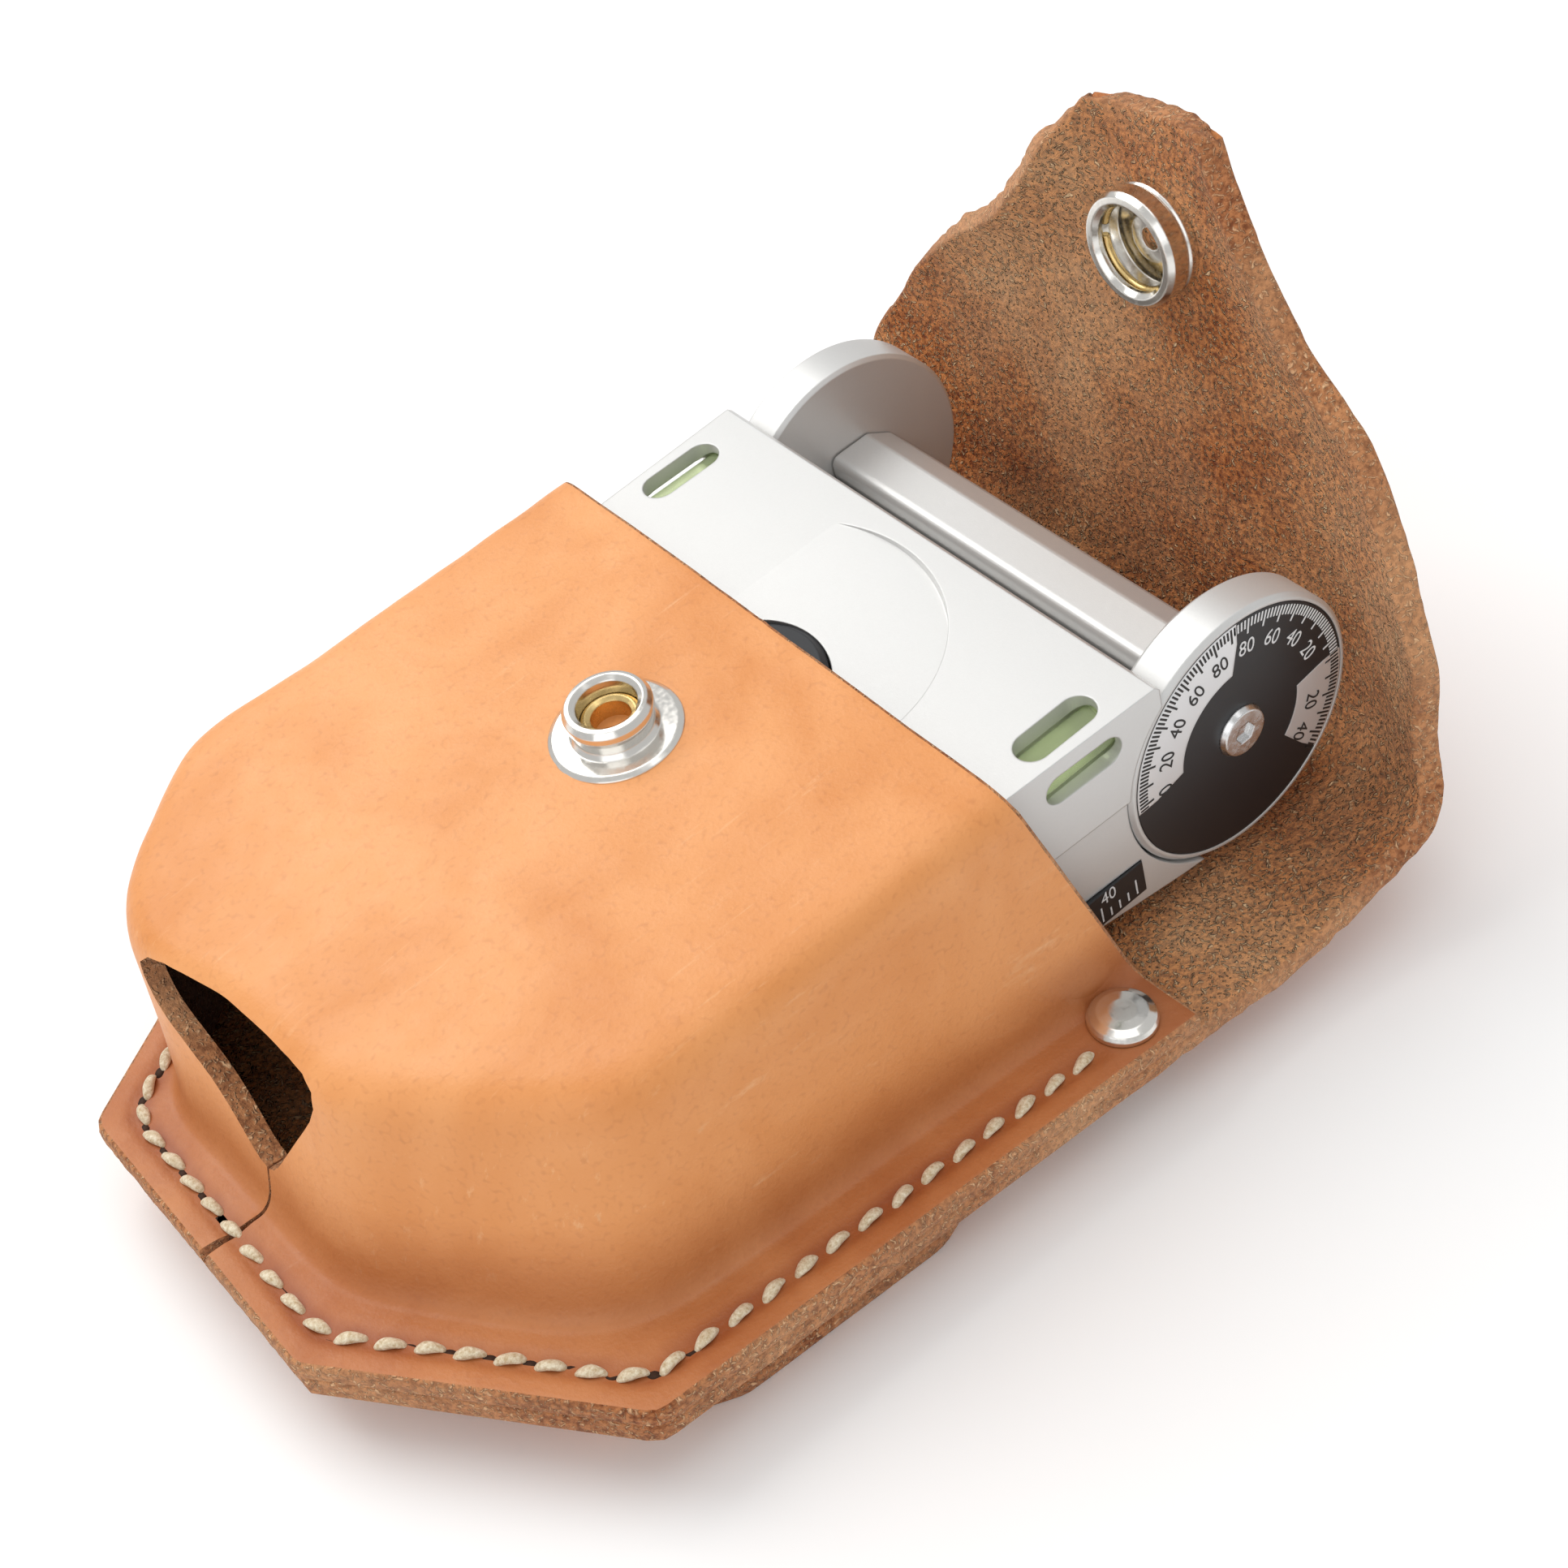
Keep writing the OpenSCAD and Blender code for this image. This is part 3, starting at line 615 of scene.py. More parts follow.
def stations():
    """Sections all round the pocket, from the right of the mouth to the left."""
    across = int(math.ceil((TAB_X - FAN_X) / STATION_STEP))
    around = int(math.ceil(math.pi / 2 * HALF_W / STATION_STEP))
    straight = [(TAB_X - 0.4 + (FAN_X - TAB_X + 0.4) * t, MOUTH_X + (FAN_X - MOUTH_X) * t)
                for t in np.linspace(0, 1, across, endpoint=False)]
    rows = [station(xe, xr, xr, (0, -1, 0)) for xe, xr in straight]
    for a in np.linspace(1.5 * math.pi, 0.5 * math.pi, 2 * around + 1):
        rows.append(station(FAN_X, FAN_X, FAN_X, (math.cos(a), math.sin(a), 0)))
    rows += [station(xe, xr, xr, (0, 1, 0)) for xe, xr in straight[::-1]]
    full = filled(rows)
    middle = np.abs(full[:, 1]) < 4
    full[middle, 0] = np.median(full[middle, 0])
    full[middle, 2] = np.median(full[middle, 2])
    angle = np.degrees(np.arctan2(full[:, 5], full[:, 4] - FAN_X))
    swell = SWELL * smoothstep(85, 120, angle) * (1 - smoothstep(150, 172, angle))
    outwards = unit(full[:, 4:6] - [FAN_X, 0])
    full[:, 4:6] += outwards * swell[:, None]
    full[:, 2:4] += outwards * swell[:, None] * 0.35
    full[:, 2:6] = smooth_rows(full[:, 2:6], 2.0)
    return full


def quadratic(controls, counts):
    """Points along a quadratic B-spline; counts holds the steps of each corner and straight."""
    p = np.array(controls)
    mids = [p[0]] + [(p[i] + p[i + 1]) / 2 for i in range(len(p) - 1)] + [p[-1]]
    points = []
    for i, steps in enumerate(counts):
        if i == 0 or i == len(p) - 1:
            a, b = (p[0], mids[1]) if i == 0 else (mids[-2], p[-1])
            points += [a + (b - a) * k / steps for k in range(steps)]
        else:
            a, b, c = mids[i], p[i], mids[i + 1]
            for k in range(steps):
                t = k / steps
                points.append(a * (1 - t) ** 2 + b * 2 * t * (1 - t) + c * t * t)
    points.append(p[-1])
    return np.array(points)


def pocket_profile(row):
    """Section of the pocket from the flange's edge up the wall to the spine."""
    ex, ey, fx, fy, rx, ry, sx = row
    e = np.array([ex, ey, FRONT_T])
    f = np.array([fx, fy, FRONT_T])
    r = np.array([rx, ry, front_z(rx) + 0.1])
    s = np.array([sx, 0, front_z(sx) + CROWN])
    wall = (r - f) / np.linalg.norm(r - f)
    outwards = (e - f) / np.linalg.norm(e - f)
    inwards = (s - r) / np.linalg.norm(s - r)
    reach = min(FLANGE_ROUND, 0.5 * np.linalg.norm(e - f))
    controls = [e, f + outwards * reach, f, f + wall * FOOT_ROUND, r - wall * RIDGE_ROUND,
                r - wall * 0.4 + inwards * 0.2, r + inwards * RIDGE_ROUND, s]
    return quadratic(controls, [6, 4, 9, 3, 3, 12, 3, 16])


STATIONS = stations()
STITCH = 4.4
SEAM_BOX = case_box("stitching")
SEAM_THREAD = 0.62
SEAM_INSET = HALF_W - SEAM_BOX[1, 1] + SEAM_THREAD


def seam_path(side):
    """Stitch line at an even distance inside the flange's edge, from the mouth to the closed end."""
    edge = STATIONS[:, :2] if side < 0 else STATIONS[::-1, :2]
    edge = edge[:len(edge) // 2 + 1]
    eased = smooth_rows(edge, 2.2)
    d = unit(np.gradient(eased, axis=0))
    inwards = np.stack([-d[:, 1], d[:, 0]], 1) * side
    line = smooth_rows(edge + inwards * SEAM_INSET, 2.2)
    return line[line[:, 0] < SEAM_BOX[1, 0]]


SEAM_PATHS = {side: seam_path(side) for side in (-1, 1)}


def seam_points(side):
    """Stitch holes on one side, from the mouth to the middle of the closed end."""
    end = lengths(SEAM_PATHS[side])[-1]
    return resampled(SEAM_PATHS[side], np.linspace(0, end, int(round(end / STITCH)) + 1))


def seam_distance(points):
    """Distance of each point from the stitch line, seen from above."""
    best = np.full(len(points), 1e9)
    for side in (-1, 1):
        line = SEAM_PATHS[side]
        for a, b in zip(line[:-1], line[1:]):
            d = b - a
            t = np.clip(((points[:, 0] - a[0]) * d[0] + (points[:, 1] - a[1]) * d[1]) / (d @ d), 0, 1)
            offset = points[:, :2] - a - t[:, None] * d
            best = np.minimum(best, np.hypot(offset[:, 0], offset[:, 1]))
    return best


def prism(name, outline, x0, x1):
    """A cutter: an outline in (y, z) drawn out along x."""
    n = len(outline)
    verts = [(x0, y, z) for y, z in outline] + [(x1, y, z) for y, z in outline]
    faces = [tuple(range(n))[::-1], tuple(range(n, 2 * n))]
    faces += [(i, (i + 1) % n, n + (i + 1) % n, n + i) for i in range(n)]
    obj = make_object(name, to_row(verts), faces, POCKET_MATERIALS, [EDGE] * len(faces), False)
    return clean(obj)


def is_open(y, z):
    """True where the CAD pocket's end wall has no leather."""
    if not FRONT_T < z < front_z(0):
        return False
    hit = POCKET_SKIN.ray_cast(Vector((-10, y, z)), Vector((1, 0, 0)))[0]
    return hit is None or hit.x > FAN_X


VENT_GROWTH = 1.2  # the worn opening is larger than the cut one


def vent_outline(count=48):
    """Outline (y, z) of the CAD pocket's vent, looked up from the middle of the opening."""
    gaps = [(y, z) for y in np.arange(-20.5, 21) for z in np.arange(FRONT_T + 4, POCKET_TOP)
            if is_open(y, z)]
    centre = np.mean(gaps, axis=0)
    points = []
    for a in np.linspace(0, 2 * math.pi, count, endpoint=False):
        ray = np.array([math.cos(a), math.sin(a)])
        inside, outside = 0.0, HALF_W / 2
        for _ in range(12):
            half = (inside + outside) / 2
            if is_open(*(centre + ray * half)):
                inside = half
            else:
                outside = half
        points.append(centre + ray * inside)
    ring = np.array(points * 3)
    soft = smooth_rows(ring, 1.1)[count:2 * count]
    return [tuple(centre + (p - centre) * VENT_GROWTH) for p in soft]


POCKET_MATERIALS = [GRAIN, SUEDE_DARK, CUT_EDGE]
VENT = vent_outline()
SEAM_Y, SEAM_TOP = min(VENT, key=lambda p: p[1])
SPINE_NORMAL = np.array([-math.sin(TILT), 0, math.cos(TILT)])
RIVET_BOX = case_box("tab_rivet_cap_left")
RIVET = RIVET_BOX.mean(0)
RIVET_R = (RIVET_BOX[1] - RIVET_BOX[0])[0] / 2
GROOVE = (0.38, 1.1)  # depth and width of the groove that the thread presses
SEAM_LIP = 0.45  # how far one lip of the butt seam stands up
SLIT_X = (-4.5, 9.5)  # the butt seam's slit narrows from its outer to its inner end
SLIT_HALF = (0.9, 0.12)


def dent_flange(grid):
    """Presses the flange along the stitch line and lifts one lip of the butt seam."""
    flat = grid.reshape(-1, 3)
    near = seam_distance(flat)
    low = flat[:, 2] < 8
    flat[:, 2] -= np.where(low, GROOVE[0] * np.exp(-(near / GROOVE[1]) ** 2), 0)
    rivet = np.hypot(flat[:, 0] - RIVET[0], np.abs(flat[:, 1]) - RIVET[1])
    pressed = FRONT_T - 0.1 + 1.6 * np.maximum(rivet - RIVET_R - 0.1, 0)
    flat[:, 2] = np.where(low, np.minimum(flat[:, 2], pressed), flat[:, 2])
    front = (flat[:, 0] < 14) & (flat[:, 2] < 16)
    lip = np.exp(-np.maximum(SEAM_Y - flat[:, 1], 0) / 5.0) * (flat[:, 1] < SEAM_Y)
    flat[:, 2] += np.where(front, SEAM_LIP * lip, 0)
    wave = 0.28 * soft_noise(flat, 16.0, 1) + 0.1 * soft_noise(flat, 5.0, 2)
    wave *= np.clip(flat[:, 2] / 20, 0.1, 1)
    grid += wave.reshape(grid.shape[:2])[..., None] * grid_normals(grid)
    return grid


def build_pocket():
    grid = np.array([pocket_profile(r) for r in STATIONS])
    n, m = grid.shape[:2]
    grid = dent_flange(grid)
    grid[:, -1, 1] = 0
    normals = grid_normals(grid)
    if normals[n // 2, m // 2, 2] < 0:
        normals = -normals
    normals[:, 0] = (0, 0, 1)
    for k in range(n):
        grid[k, -1, 2] = front_z(grid[k, -1, 0]) + CROWN
        normals[k, -1] = SPINE_NORMAL
    loop = [(0, j) for j in range(m - 1, -1, -1)] + [(i, 0) for i in range(1, n)]
    loop += [(n - 1, j) for j in range(1, m - 1)]
    pocket = leather_sheet("pocket_leather", grid, normals, FRONT_T, POCKET_MATERIALS, loop)
    top = SEAM_TOP + 1.3
    x0, x1 = SLIT_X
    wide, narrow = SLIT_HALF
    slit = [(x0, -wide, -1), (x1, -narrow, -1), (x1, -narrow, top), (x0, -wide, top)]
    verts = [(x, SEAM_Y + d, z) for x, d, z in slit] + [(x, SEAM_Y - d, z) for x, d, z in slit]
    faces = [(0, 1, 2, 3), (7, 6, 5, 4), (0, 4, 5, 1), (1, 5, 6, 2), (2, 6, 7, 3), (3, 7, 4, 0)]
    wedge = make_object("wedge", to_row(verts), faces, POCKET_MATERIALS, [EDGE] * 6, False)
    cut(pocket, clean(wedge))
    cut(pocket, prism("vent", VENT, -6, FAN_X / 2.4))
    mark_sharp(pocket, 40)
    co = to_case(points_of(pocket))
    near = seam_distance(co)
    # darkening for the grain: darker towards the bottom (flange and lower wall), darker along the stitch
    # line, and painted shade at the bottom near the mouth
    low = 1 - smoothstep(3.5, 16, co[:, 2])
    edge_line = np.exp(-(near / 1.3) ** 2) * (co[:, 2] < 6)
    mouth_shade = 0.25 * smoothstep(74, 92, co[:, 0]) * low
    stain_and_shade = np.clip(0.62 * low + 0.5 * edge_line + mouth_shade + 0.05, 0, 1)
    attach(leather_piece(pocket, stain_and_shade, "front_pocket"), "case")


# ---- back panel and flap ----

JOIN_Z = 18.0  # height where the flap's two sheets of the mesh meet
TRIM = 0.4  # how far the leather stays inside the CAD outline
CUP_LOW = (3.0, 4.0)  # extra inward curl of the left and right margin near the bend
CUP = (2.6, 3.2)  # curl of the left and right margin of the standing flap
CUP_TOP = 1.7  # extra curl beside the socket
TUCK = (3.0, 4.2)  # how much the curled left and right margins narrow the flap
TIP_LEAN = 0.9  # the tongue's tip is twisted: left corner lower, right corner higher
TIP_SLANT = 0.3  # share of the right half width that the slanted tip cuts away
TIP_ROW = TIP_Z - 2.8
CUP_FADE = ((10, 28), (24, 50))  # heights between which the left and right curl eases off
TUCK_RISE = ((20, 34), (-4, 16))  # heights between which the left and right margin tucks in
TUCK_END = (36, 46)
MARGIN = 0.42  # share of the half width where the curl begins
WAVE = (0.6, 24)  # height and length of the sheet's slow waves
FLUFF = (0.14, 1.4)  # height and length of the nap
PANEL_MATERIALS = [SUEDE, GRAIN_FLAP, CUT_EDGE]
PANEL_FRAY = 0.14
BACK_SKIN = skin("back_panel")
FLAP_SKIN = skin("flap_end")
TONGUE_SKIN = skin("flap_tongue")


def half_widths(trees, places):
    """Half width of the CAD leather to the left and the right of each place on its middle."""
    rows = []
    for place in places:
        row = []
        for side in (1, -1):
            hits = [outer(tree, place, (0, side, 0)) for tree in trees]
            row.append(max([abs(h[1]) for h in hits if h is not None], default=math.nan))
        rows.append(row)
    return filled(rows) - TRIM


BACK_ROWS = np.arange(-1.5, FAN_X + 10, 0.5)
BACK_WIDTHS = half_widths([BACK_SKIN], [(x, 0, -BACK_T / 2) for x in BACK_ROWS])
FLAP_ROWS = np.arange(JOIN_Z, TIP_Z - 1, 1.0)
FLAP_WIDTHS = half_widths([FLAP_SKIN, TONGUE_SKIN], [(STAND_X + BACK_T / 2, 0, z) for z in FLAP_ROWS])
FLAP_WIDTHS = smooth_rows(FLAP_WIDTHS, 1.2)


def panel_path():
    """Inner face of back panel and flap in the middle plane: rows of x, z every millimetre."""
    lookout = Vector((STAND_X - 14, 0, 12))
    points = [np.array([-1.5, 0.0]), np.array([FOLD_X - 2, 0.0])]
    for a in np.radians(np.arange(-145, 1, 2.5)):
        hit = FLAP_SKIN.ray_cast(lookout, Vector((math.cos(a), 0, math.sin(a))))[0]
        if hit is not None:
            points.append(np.array([hit.x, hit.z]))
    points.append(np.array([STAND_X, TIP_ROW + 1]))
    points = np.array(points)
    return smooth_rows(resampled(points, np.arange(0, lengths(points)[-1] + 1e-6, 1.0)), 2.6)


PATH = panel_path()
PATH_LENGTH = np.arange(len(PATH)) * 1.0


def path_at(v):
    return np.array([np.interp(v, PATH_LENGTH, PATH[:, k]) for k in (0, 1)])


def edge_row(x, z):
    """Half width, inward curl and rise of the left and right edge at a place on the middle line."""
    height = z if x > STAND_X - 13 else 0.0
    bend = float(smoothstep(FOLD_X + 2, STAND_X - 8, x))
    tip = float(smoothstep(TIP_ROW - 9, TIP_ROW, height))
    row = []
    for k, up in ((0, -1), (1, 1)):
        plain_w = np.interp(x, BACK_ROWS, BACK_WIDTHS[:, k])
        w = plain_w + (np.interp(height, FLAP_ROWS, FLAP_WIDTHS[:, k]) - plain_w) * bend
        curl = CUP[k] + CUP_LOW[k] * (1 - smoothstep(*CUP_FADE[k], height))
        curl += CUP_TOP * smoothstep(38, 62, height) * (1 - k)
        curl *= 1 - 0.75 * tip
        w -= TUCK[k] * smoothstep(*TUCK_RISE[k], height) * (1 - smoothstep(*TUCK_END, height)) * bend
        if k == 1:
            w *= 1 - TIP_SLANT * tip
        row += [float(w), float(curl) * bend, up * TIP_LEAN * tip]
    return row


def panel_grid(v0, v1, rows, columns):
    """Points of the sheet's inner face between two lengths along the path."""
    grid = np.zeros((rows, columns, 3))
    for i, v in enumerate(np.linspace(v0, v1, rows)):
        x, z = path_at(v)
        d = path_at(v + 0.5) - path_at(v - 0.5)
        d /= max(np.linalg.norm(d), 1e-9)
        inner = np.array([-d[1], d[0]])
        edge = edge_row(x, z)
        bend = smoothstep(FOLD_X + 2, STAND_X - 4, x)
        flat_seat = 1 - smoothstep(7, 12, abs(z - SOCKET_Z)) if x > STAND_X - 3 else 0
        for j, u in enumerate(np.linspace(-1, 1, columns)):
            w, lift, drop = edge[0:3] if u > 0 else edge[3:6]
            y = u * w
            margin = np.clip((abs(u) - MARGIN) / (1 - MARGIN), 0, 1)
            cup = lift * margin ** 2
            wave = WAVE[0] * bend * noise.noise(Vector((x, y, z)) / WAVE[1])
            fluff = FLUFF[0] * noise.noise(Vector((x, y, z)) / FLUFF[1] + Vector((3, 1, 2)))
            calm = flat_seat * (1 - smoothstep(7, 12, abs(y)))
            offset = cup + wave * (1 - calm) + fluff * smoothstep(MOUTH_X, TAB_X, x) * (1 - calm)
            rise = drop * abs(u) if x > STAND_X - 3 else 0.0
            grid[i, j] = (x + inner[0] * offset, y, z + inner[1] * offset + rise)
    return grid


def panel_sheet(name, v0, v1, rows, columns):
    """One stretch of the panel as a closed sheet."""
    grid = panel_grid(v0, v1, rows, columns)
    wide = panel_grid(v0 - (v1 - v0) / (rows - 1), v1 + (v1 - v0) / (rows - 1), rows + 2, columns)
    normals = grid_normals(wide)[1:-1]
    if (normals[rows // 2, columns // 2] * np.array([-1, 0, 1])).sum() < 0:
        normals = -normals
    return leather_sheet(name, grid, normals, BACK_T, PANEL_MATERIALS, border(rows, columns), PANEL_FRAY)


def length_at(height):
    """Length along the path where the standing flap reaches a height."""
    standing = PATH[:, 0] > STAND_X - 12
    rows = np.where(standing & (PATH[:, 1] >= height))[0]
    return float(PATH_LENGTH[rows[0]])


def panel_stain(obj):
    co = to_case(points_of(obj))
    # an even base tone, darker where the back panel bends up into the flap, towards the bottom
    bend = smoothstep(FOLD_X, FOLD_X + 20, co[:, 0]) * (1 - smoothstep(5, 30, co[:, 2]))
    return np.clip(0.15 + 0.25 * bend, 0, 1)


def build_panel():
    join = length_at(JOIN_Z)
    end = length_at(TIP_ROW)
    back = panel_sheet("back_and_flap_leather", 0.0, join, 122, 82)
    leather_piece(back, panel_stain(back), "back_panel", "flap_end")
    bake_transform(back)
    tongue = panel_sheet("flap_tongue_leather", join, end, 52, 82)
    leather_piece(tongue, panel_stain(tongue), "flap_tongue")
    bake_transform(tongue)


# ---- belt loop ----

LOOP_SKIN = skin("belt_loop")
LOOP_BOX = case_box("belt_loop")


def build_belt_loop():
    rows, columns = 76, 60
    xs = np.linspace(LOOP_BOX[0, 0] + TRIM, LOOP_BOX[1, 0] - TRIM, rows)
    outside = smooth_rows([[outer(LOOP_SKIN, (x, 0, 0), (0, 0, -1))[2]] for x in xs], 1.2)[:, 0]
    thickness = -BACK_T - outside[1]
    widths = half_widths([LOOP_SKIN], [(x, 0, z + thickness / 2) for x, z in zip(xs, outside)])
    grid = np.zeros((rows, columns, 3))
    for i in range(rows):
        for j, u in enumerate(np.linspace(-1, 1, columns)):
            w = widths[i, 0 if u > 0 else 1]
            wobble = 0.15 * noise.noise(Vector((xs[i], u * w, 0)) / 12)
            grid[i, j] = (xs[i], u * w, outside[i] - 0.05 + wobble)
    normals = grid_normals(grid)
    if normals[rows // 2, columns // 2, 2] > 0:
        normals = -normals
    loop = leather_sheet("belt_loop_leather", grid, normals, thickness, [GRAIN_FLAP, SUEDE, CUT_EDGE],
                         border(rows, columns))
    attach(leather_piece(loop, np.full(len(loop.data.vertices), 0.15), "belt_loop"), "case")


# ---- stitching ----

THREAD_R = 0.66
SLOT_TURN = 0.9  # slant of the awl's slots, radians
SLOT_SIDES = 14


def stitch(a, b, top, lift):
    """One pull of twisted thread from hole to hole: points and faces."""
    rings, sides = 13, 12
    d = b - a
    length = np.hypot(*d)
    along = d / length
    side = np.array([-along[1], along[0]])
    turn = random.uniform(0.16, 0.3)
    along, side = along + side * turn, side - along * turn
    middle = (a + b) / 2 + side * random.uniform(-0.12, 0.12)
    reach = length * random.uniform(0.38, 0.42)
    phase = random.uniform(0, math.pi)
    verts = []
    for i in range(rings):
        t = i / (rings - 1)
        arch = math.sin(math.pi * t) ** 0.75
        centre = middle + along * (2 * t - 1) * reach
        z = top + lift * (arch * 0.62 - 0.28)
        r = 0.2 + (THREAD_R - 0.2) * math.sin(math.pi * t) ** 0.6
        for k in range(sides):
            a2 = 2 * math.pi * k / sides
            ply = r * (1 + 0.1 * math.cos(2 * (a2 + phase - 3.4 * t)))
            flat = 0.82 * math.sin(a2) * ply * (1 if lift > 0 else -1)
            verts.append((*(centre + side * math.cos(a2) * ply), z + flat))
    return verts, tube_faces(rings, sides)


def build_stitching():
    verts, faces = [], []
    for side in (-1, 1):
        holes = seam_points(side)
        for a, b in zip(holes[:-1], holes[1:]):
            for top, lift in ((FRONT_T - 0.12, 1.0), (-BACK_T + 0.3, -0.8)):
                v, f = stitch(a, b, top, lift)
                faces += [tuple(i + len(verts) for i in face) for face in f]
                verts += v
    obj = clean(make_object("stitches", to_row(verts), faces, [THREAD]))
    remember_rest(obj)
    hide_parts("stitching")
    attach(obj, "case")


def build_awl_holes():
    """Slanted slots pulled open between the stitches, dark funnels painted as the shade inside the awl
    holes.
    """
    verts, faces = [], []
    for side in (-1, 1):
        for x, y in seam_points(side):
            turn = SLOT_TURN * side
            start = len(verts)
            for z, r in ((FRONT_T - 0.75, 0.6), (FRONT_T - 0.3, 0.95)):
                for k in range(SLOT_SIDES):
                    a = 2 * math.pi * k / SLOT_SIDES
                    u, v = 0.85 * r * math.cos(a), 0.55 * r * math.sin(a)
                    verts.append((x + u * math.cos(turn) - v * math.sin(turn),
                                  y + u * math.sin(turn) + v * math.cos(turn), z))
            faces += tube_faces(2, SLOT_SIDES, start)
    obj = clean(make_object("awl_hole_shade", to_row(verts), faces, [HOLE_SHADE]))
    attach(obj, "case")


# ---- transit markings ----

HINGE = np.array((Vector(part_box("hinge_pin")[0]) + Vector(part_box("hinge_pin")[1])) / 2) * [1, 0, 1]
DIAL_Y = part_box("dial_plate")[0].y / MM
SCALE_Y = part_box("base_scale")[0].y / MM
DIAL_R = (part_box("dial_plate")[1].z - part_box("dial_plate")[0].z) / 2 / MM
LIFT = 0.03
DIAL_TURN = -1.5  # the whole dial's turn in its cell, degrees
NUMBER_STEP = 20  # degrees between numbers
NUMBER_R = DIAL_R * 0.73
NUMBER_SIZE = 2.9
SECTOR_R = DIAL_R * 0.56  # inner edge of the silver quadrants
SECTOR_END_R = DIAL_R * 0.82
SECTOR_PAST = 3  # degrees a silver quadrant runs past its numbers
DIAL_LOW = -48  # the scale ends here; the dial is plain black from here round to its left side
TICK_INSET = 0.35
TICK_HALF = 0.13
LONG_TICK = 2.1
SHORT_TICK = 1.25
OVER_SILVER = 0.04  # print on the silver quadrants stands this much further out
SCALE_TICKS = 9
SCALE_STEP = 1.35
SCALE_MARGIN = (0.8, 0.5)


def is_silver(angle):
    """The dial's second and fourth quadrants are silver."""
    turned = (angle - DIAL_TURN) % 360
    return 90 <= turned <= 180 or turned >= 270


def tilted(points, angle):
    """Points turned about the Y axis."""
    x, y, z = np.asarray(points, float).T
    c, d = math.cos(angle), math.sin(angle)
    return np.stack([x * c - z * d, y, x * d + z * c], 1)


def transit(points):
    """Transit frame (hinge axis at the origin) to the row frame."""
    return tilted(points, TILT) * MM + HINGE


def scale_corner():
    """Lower left corner of the base scale in the transit frame, from the frame's own part."""
    points = tilted(points_of(frame["nodes"]["base_scale"]) - HINGE, -TILT)
    return points[:, 0].min() / MM, points[:, 2].min() / MM


def plate(verts, faces, outline, y, thick=0.03):
    """Adds a thin printed shape: outline points (x, z) in the transit frame."""
    start, n = len(verts), len(outline)
    verts += [(x, y, z) for x, z in outline] + [(x, y - thick, z) for x, z in outline]
    faces.append(tuple(range(start, start + n)))
    faces.append(tuple(range(start + 2 * n - 1, start + n - 1, -1)))
    faces += [(start + k, start + n + k, start + n + (k + 1) % n, start + (k + 1) % n) for k in range(n)]


def polar(r, degrees):
    a = math.radians(degrees)
    return r * math.cos(a), r * math.sin(a)


def printed(name, verts, faces, material, slot):
    obj = clean(make_object(name, transit(verts), faces, [material], smooth=False), 5e-7)
    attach(obj, "transit")


def sector_piece(verts, faces, a0, a1, y):
    """A ring sector whose inner edge rises to the rim at both ends."""
    rim = [polar(DIAL_R - 0.05, a) for a in np.linspace(a0, a1, 60)]
    edge = [polar(SECTOR_END_R, a1)]
    steps = np.linspace(a1 + (a0 - a1) * 0.06, a0 + (a1 - a0) * 0.06, 50)
    edge += [polar(SECTOR_R, a) for a in steps]
    edge.append(polar(SECTOR_END_R, a0))
    plate(verts, faces, rim + edge, y)


def digits(name, text, at, turn, size, y, material, slot):
    """A number printed on a face that looks towards -Y, its top turned by an angle."""
    curve = bpy.data.curves.new(name, "FONT")
    curve.body = text
    curve.size = size
    curve.align_x = "CENTER"
    curve.align_y = "CENTER"
    curve.extrude = 0.015
    curve.resolution_u = 4
    holder = linked(name, curve)
    deps = bpy.context.evaluated_depsgraph_get()
    mesh = bpy.data.meshes.new_from_object(holder.evaluated_get(deps))
    bpy.data.objects.remove(holder)
    a = math.radians(turn)
    verts = []
    for v in mesh.vertices:
        u, w = v.co.x * 0.86, v.co.y
        verts.append((at[0] + u * math.cos(a) - w * math.sin(a), y - 0.02 - v.co.z,
                      at[1] + u * math.sin(a) + w * math.cos(a)))
    faces = [tuple(p.vertices) for p in mesh.polygons]
    bpy.data.meshes.remove(mesh)
    printed(name, verts, faces, material, slot)


def build_dial():
    face = DIAL_Y - LIFT
    verts, faces = [], []
    sector_piece(verts, faces, 90 + DIAL_TURN - SECTOR_PAST, 180 + DIAL_TURN + SECTOR_PAST, face)
    sector_piece(verts, faces, DIAL_LOW, DIAL_TURN + SECTOR_PAST, face)
    printed("dial_silver_sectors", verts, faces, SILVER, "satin_alloy")
    on_silver, on_black = ([], []), ([], [])
    for i in range(DIAL_LOW // 2, 92):
        a = i * 2.0 + DIAL_TURN
        silver = is_silver(a)
        length = LONG_TICK if i % 5 == 0 else SHORT_TICK
        x0, z0 = polar(DIAL_R - TICK_INSET, a)
        x1, z1 = polar(DIAL_R - TICK_INSET - length, a)
        nx, nz = polar(TICK_HALF, a + 90)
        outline = [(x0 - nx, z0 - nz), (x0 + nx, z0 + nz), (x1 + nx, z1 + nz), (x1 - nx, z1 - nz)]
        target = on_silver if silver else on_black
        plate(target[0], target[1], outline, face - OVER_SILVER if silver else face)
    printed("dial_ticks_dark", *on_silver, INK, "black_plate")
    printed("dial_ticks_light", *on_black, WHITE, "satin_alloy")
    for k, turned in enumerate(range(180, DIAL_LOW, -NUMBER_STEP)):
        if turned == 0:
            continue
        silver = is_silver(turned + DIAL_TURN)
        value = 90 - abs(90 - abs(turned))
        at = polar(NUMBER_R, turned + DIAL_TURN)
        ink, slot = (INK, "black_plate") if silver else (WHITE, "satin_alloy")
        y = face - OVER_SILVER if silver else face
        digits(f"dial_number_{k + 1}", str(value), at, turned + DIAL_TURN - 90, NUMBER_SIZE, y, ink, slot)


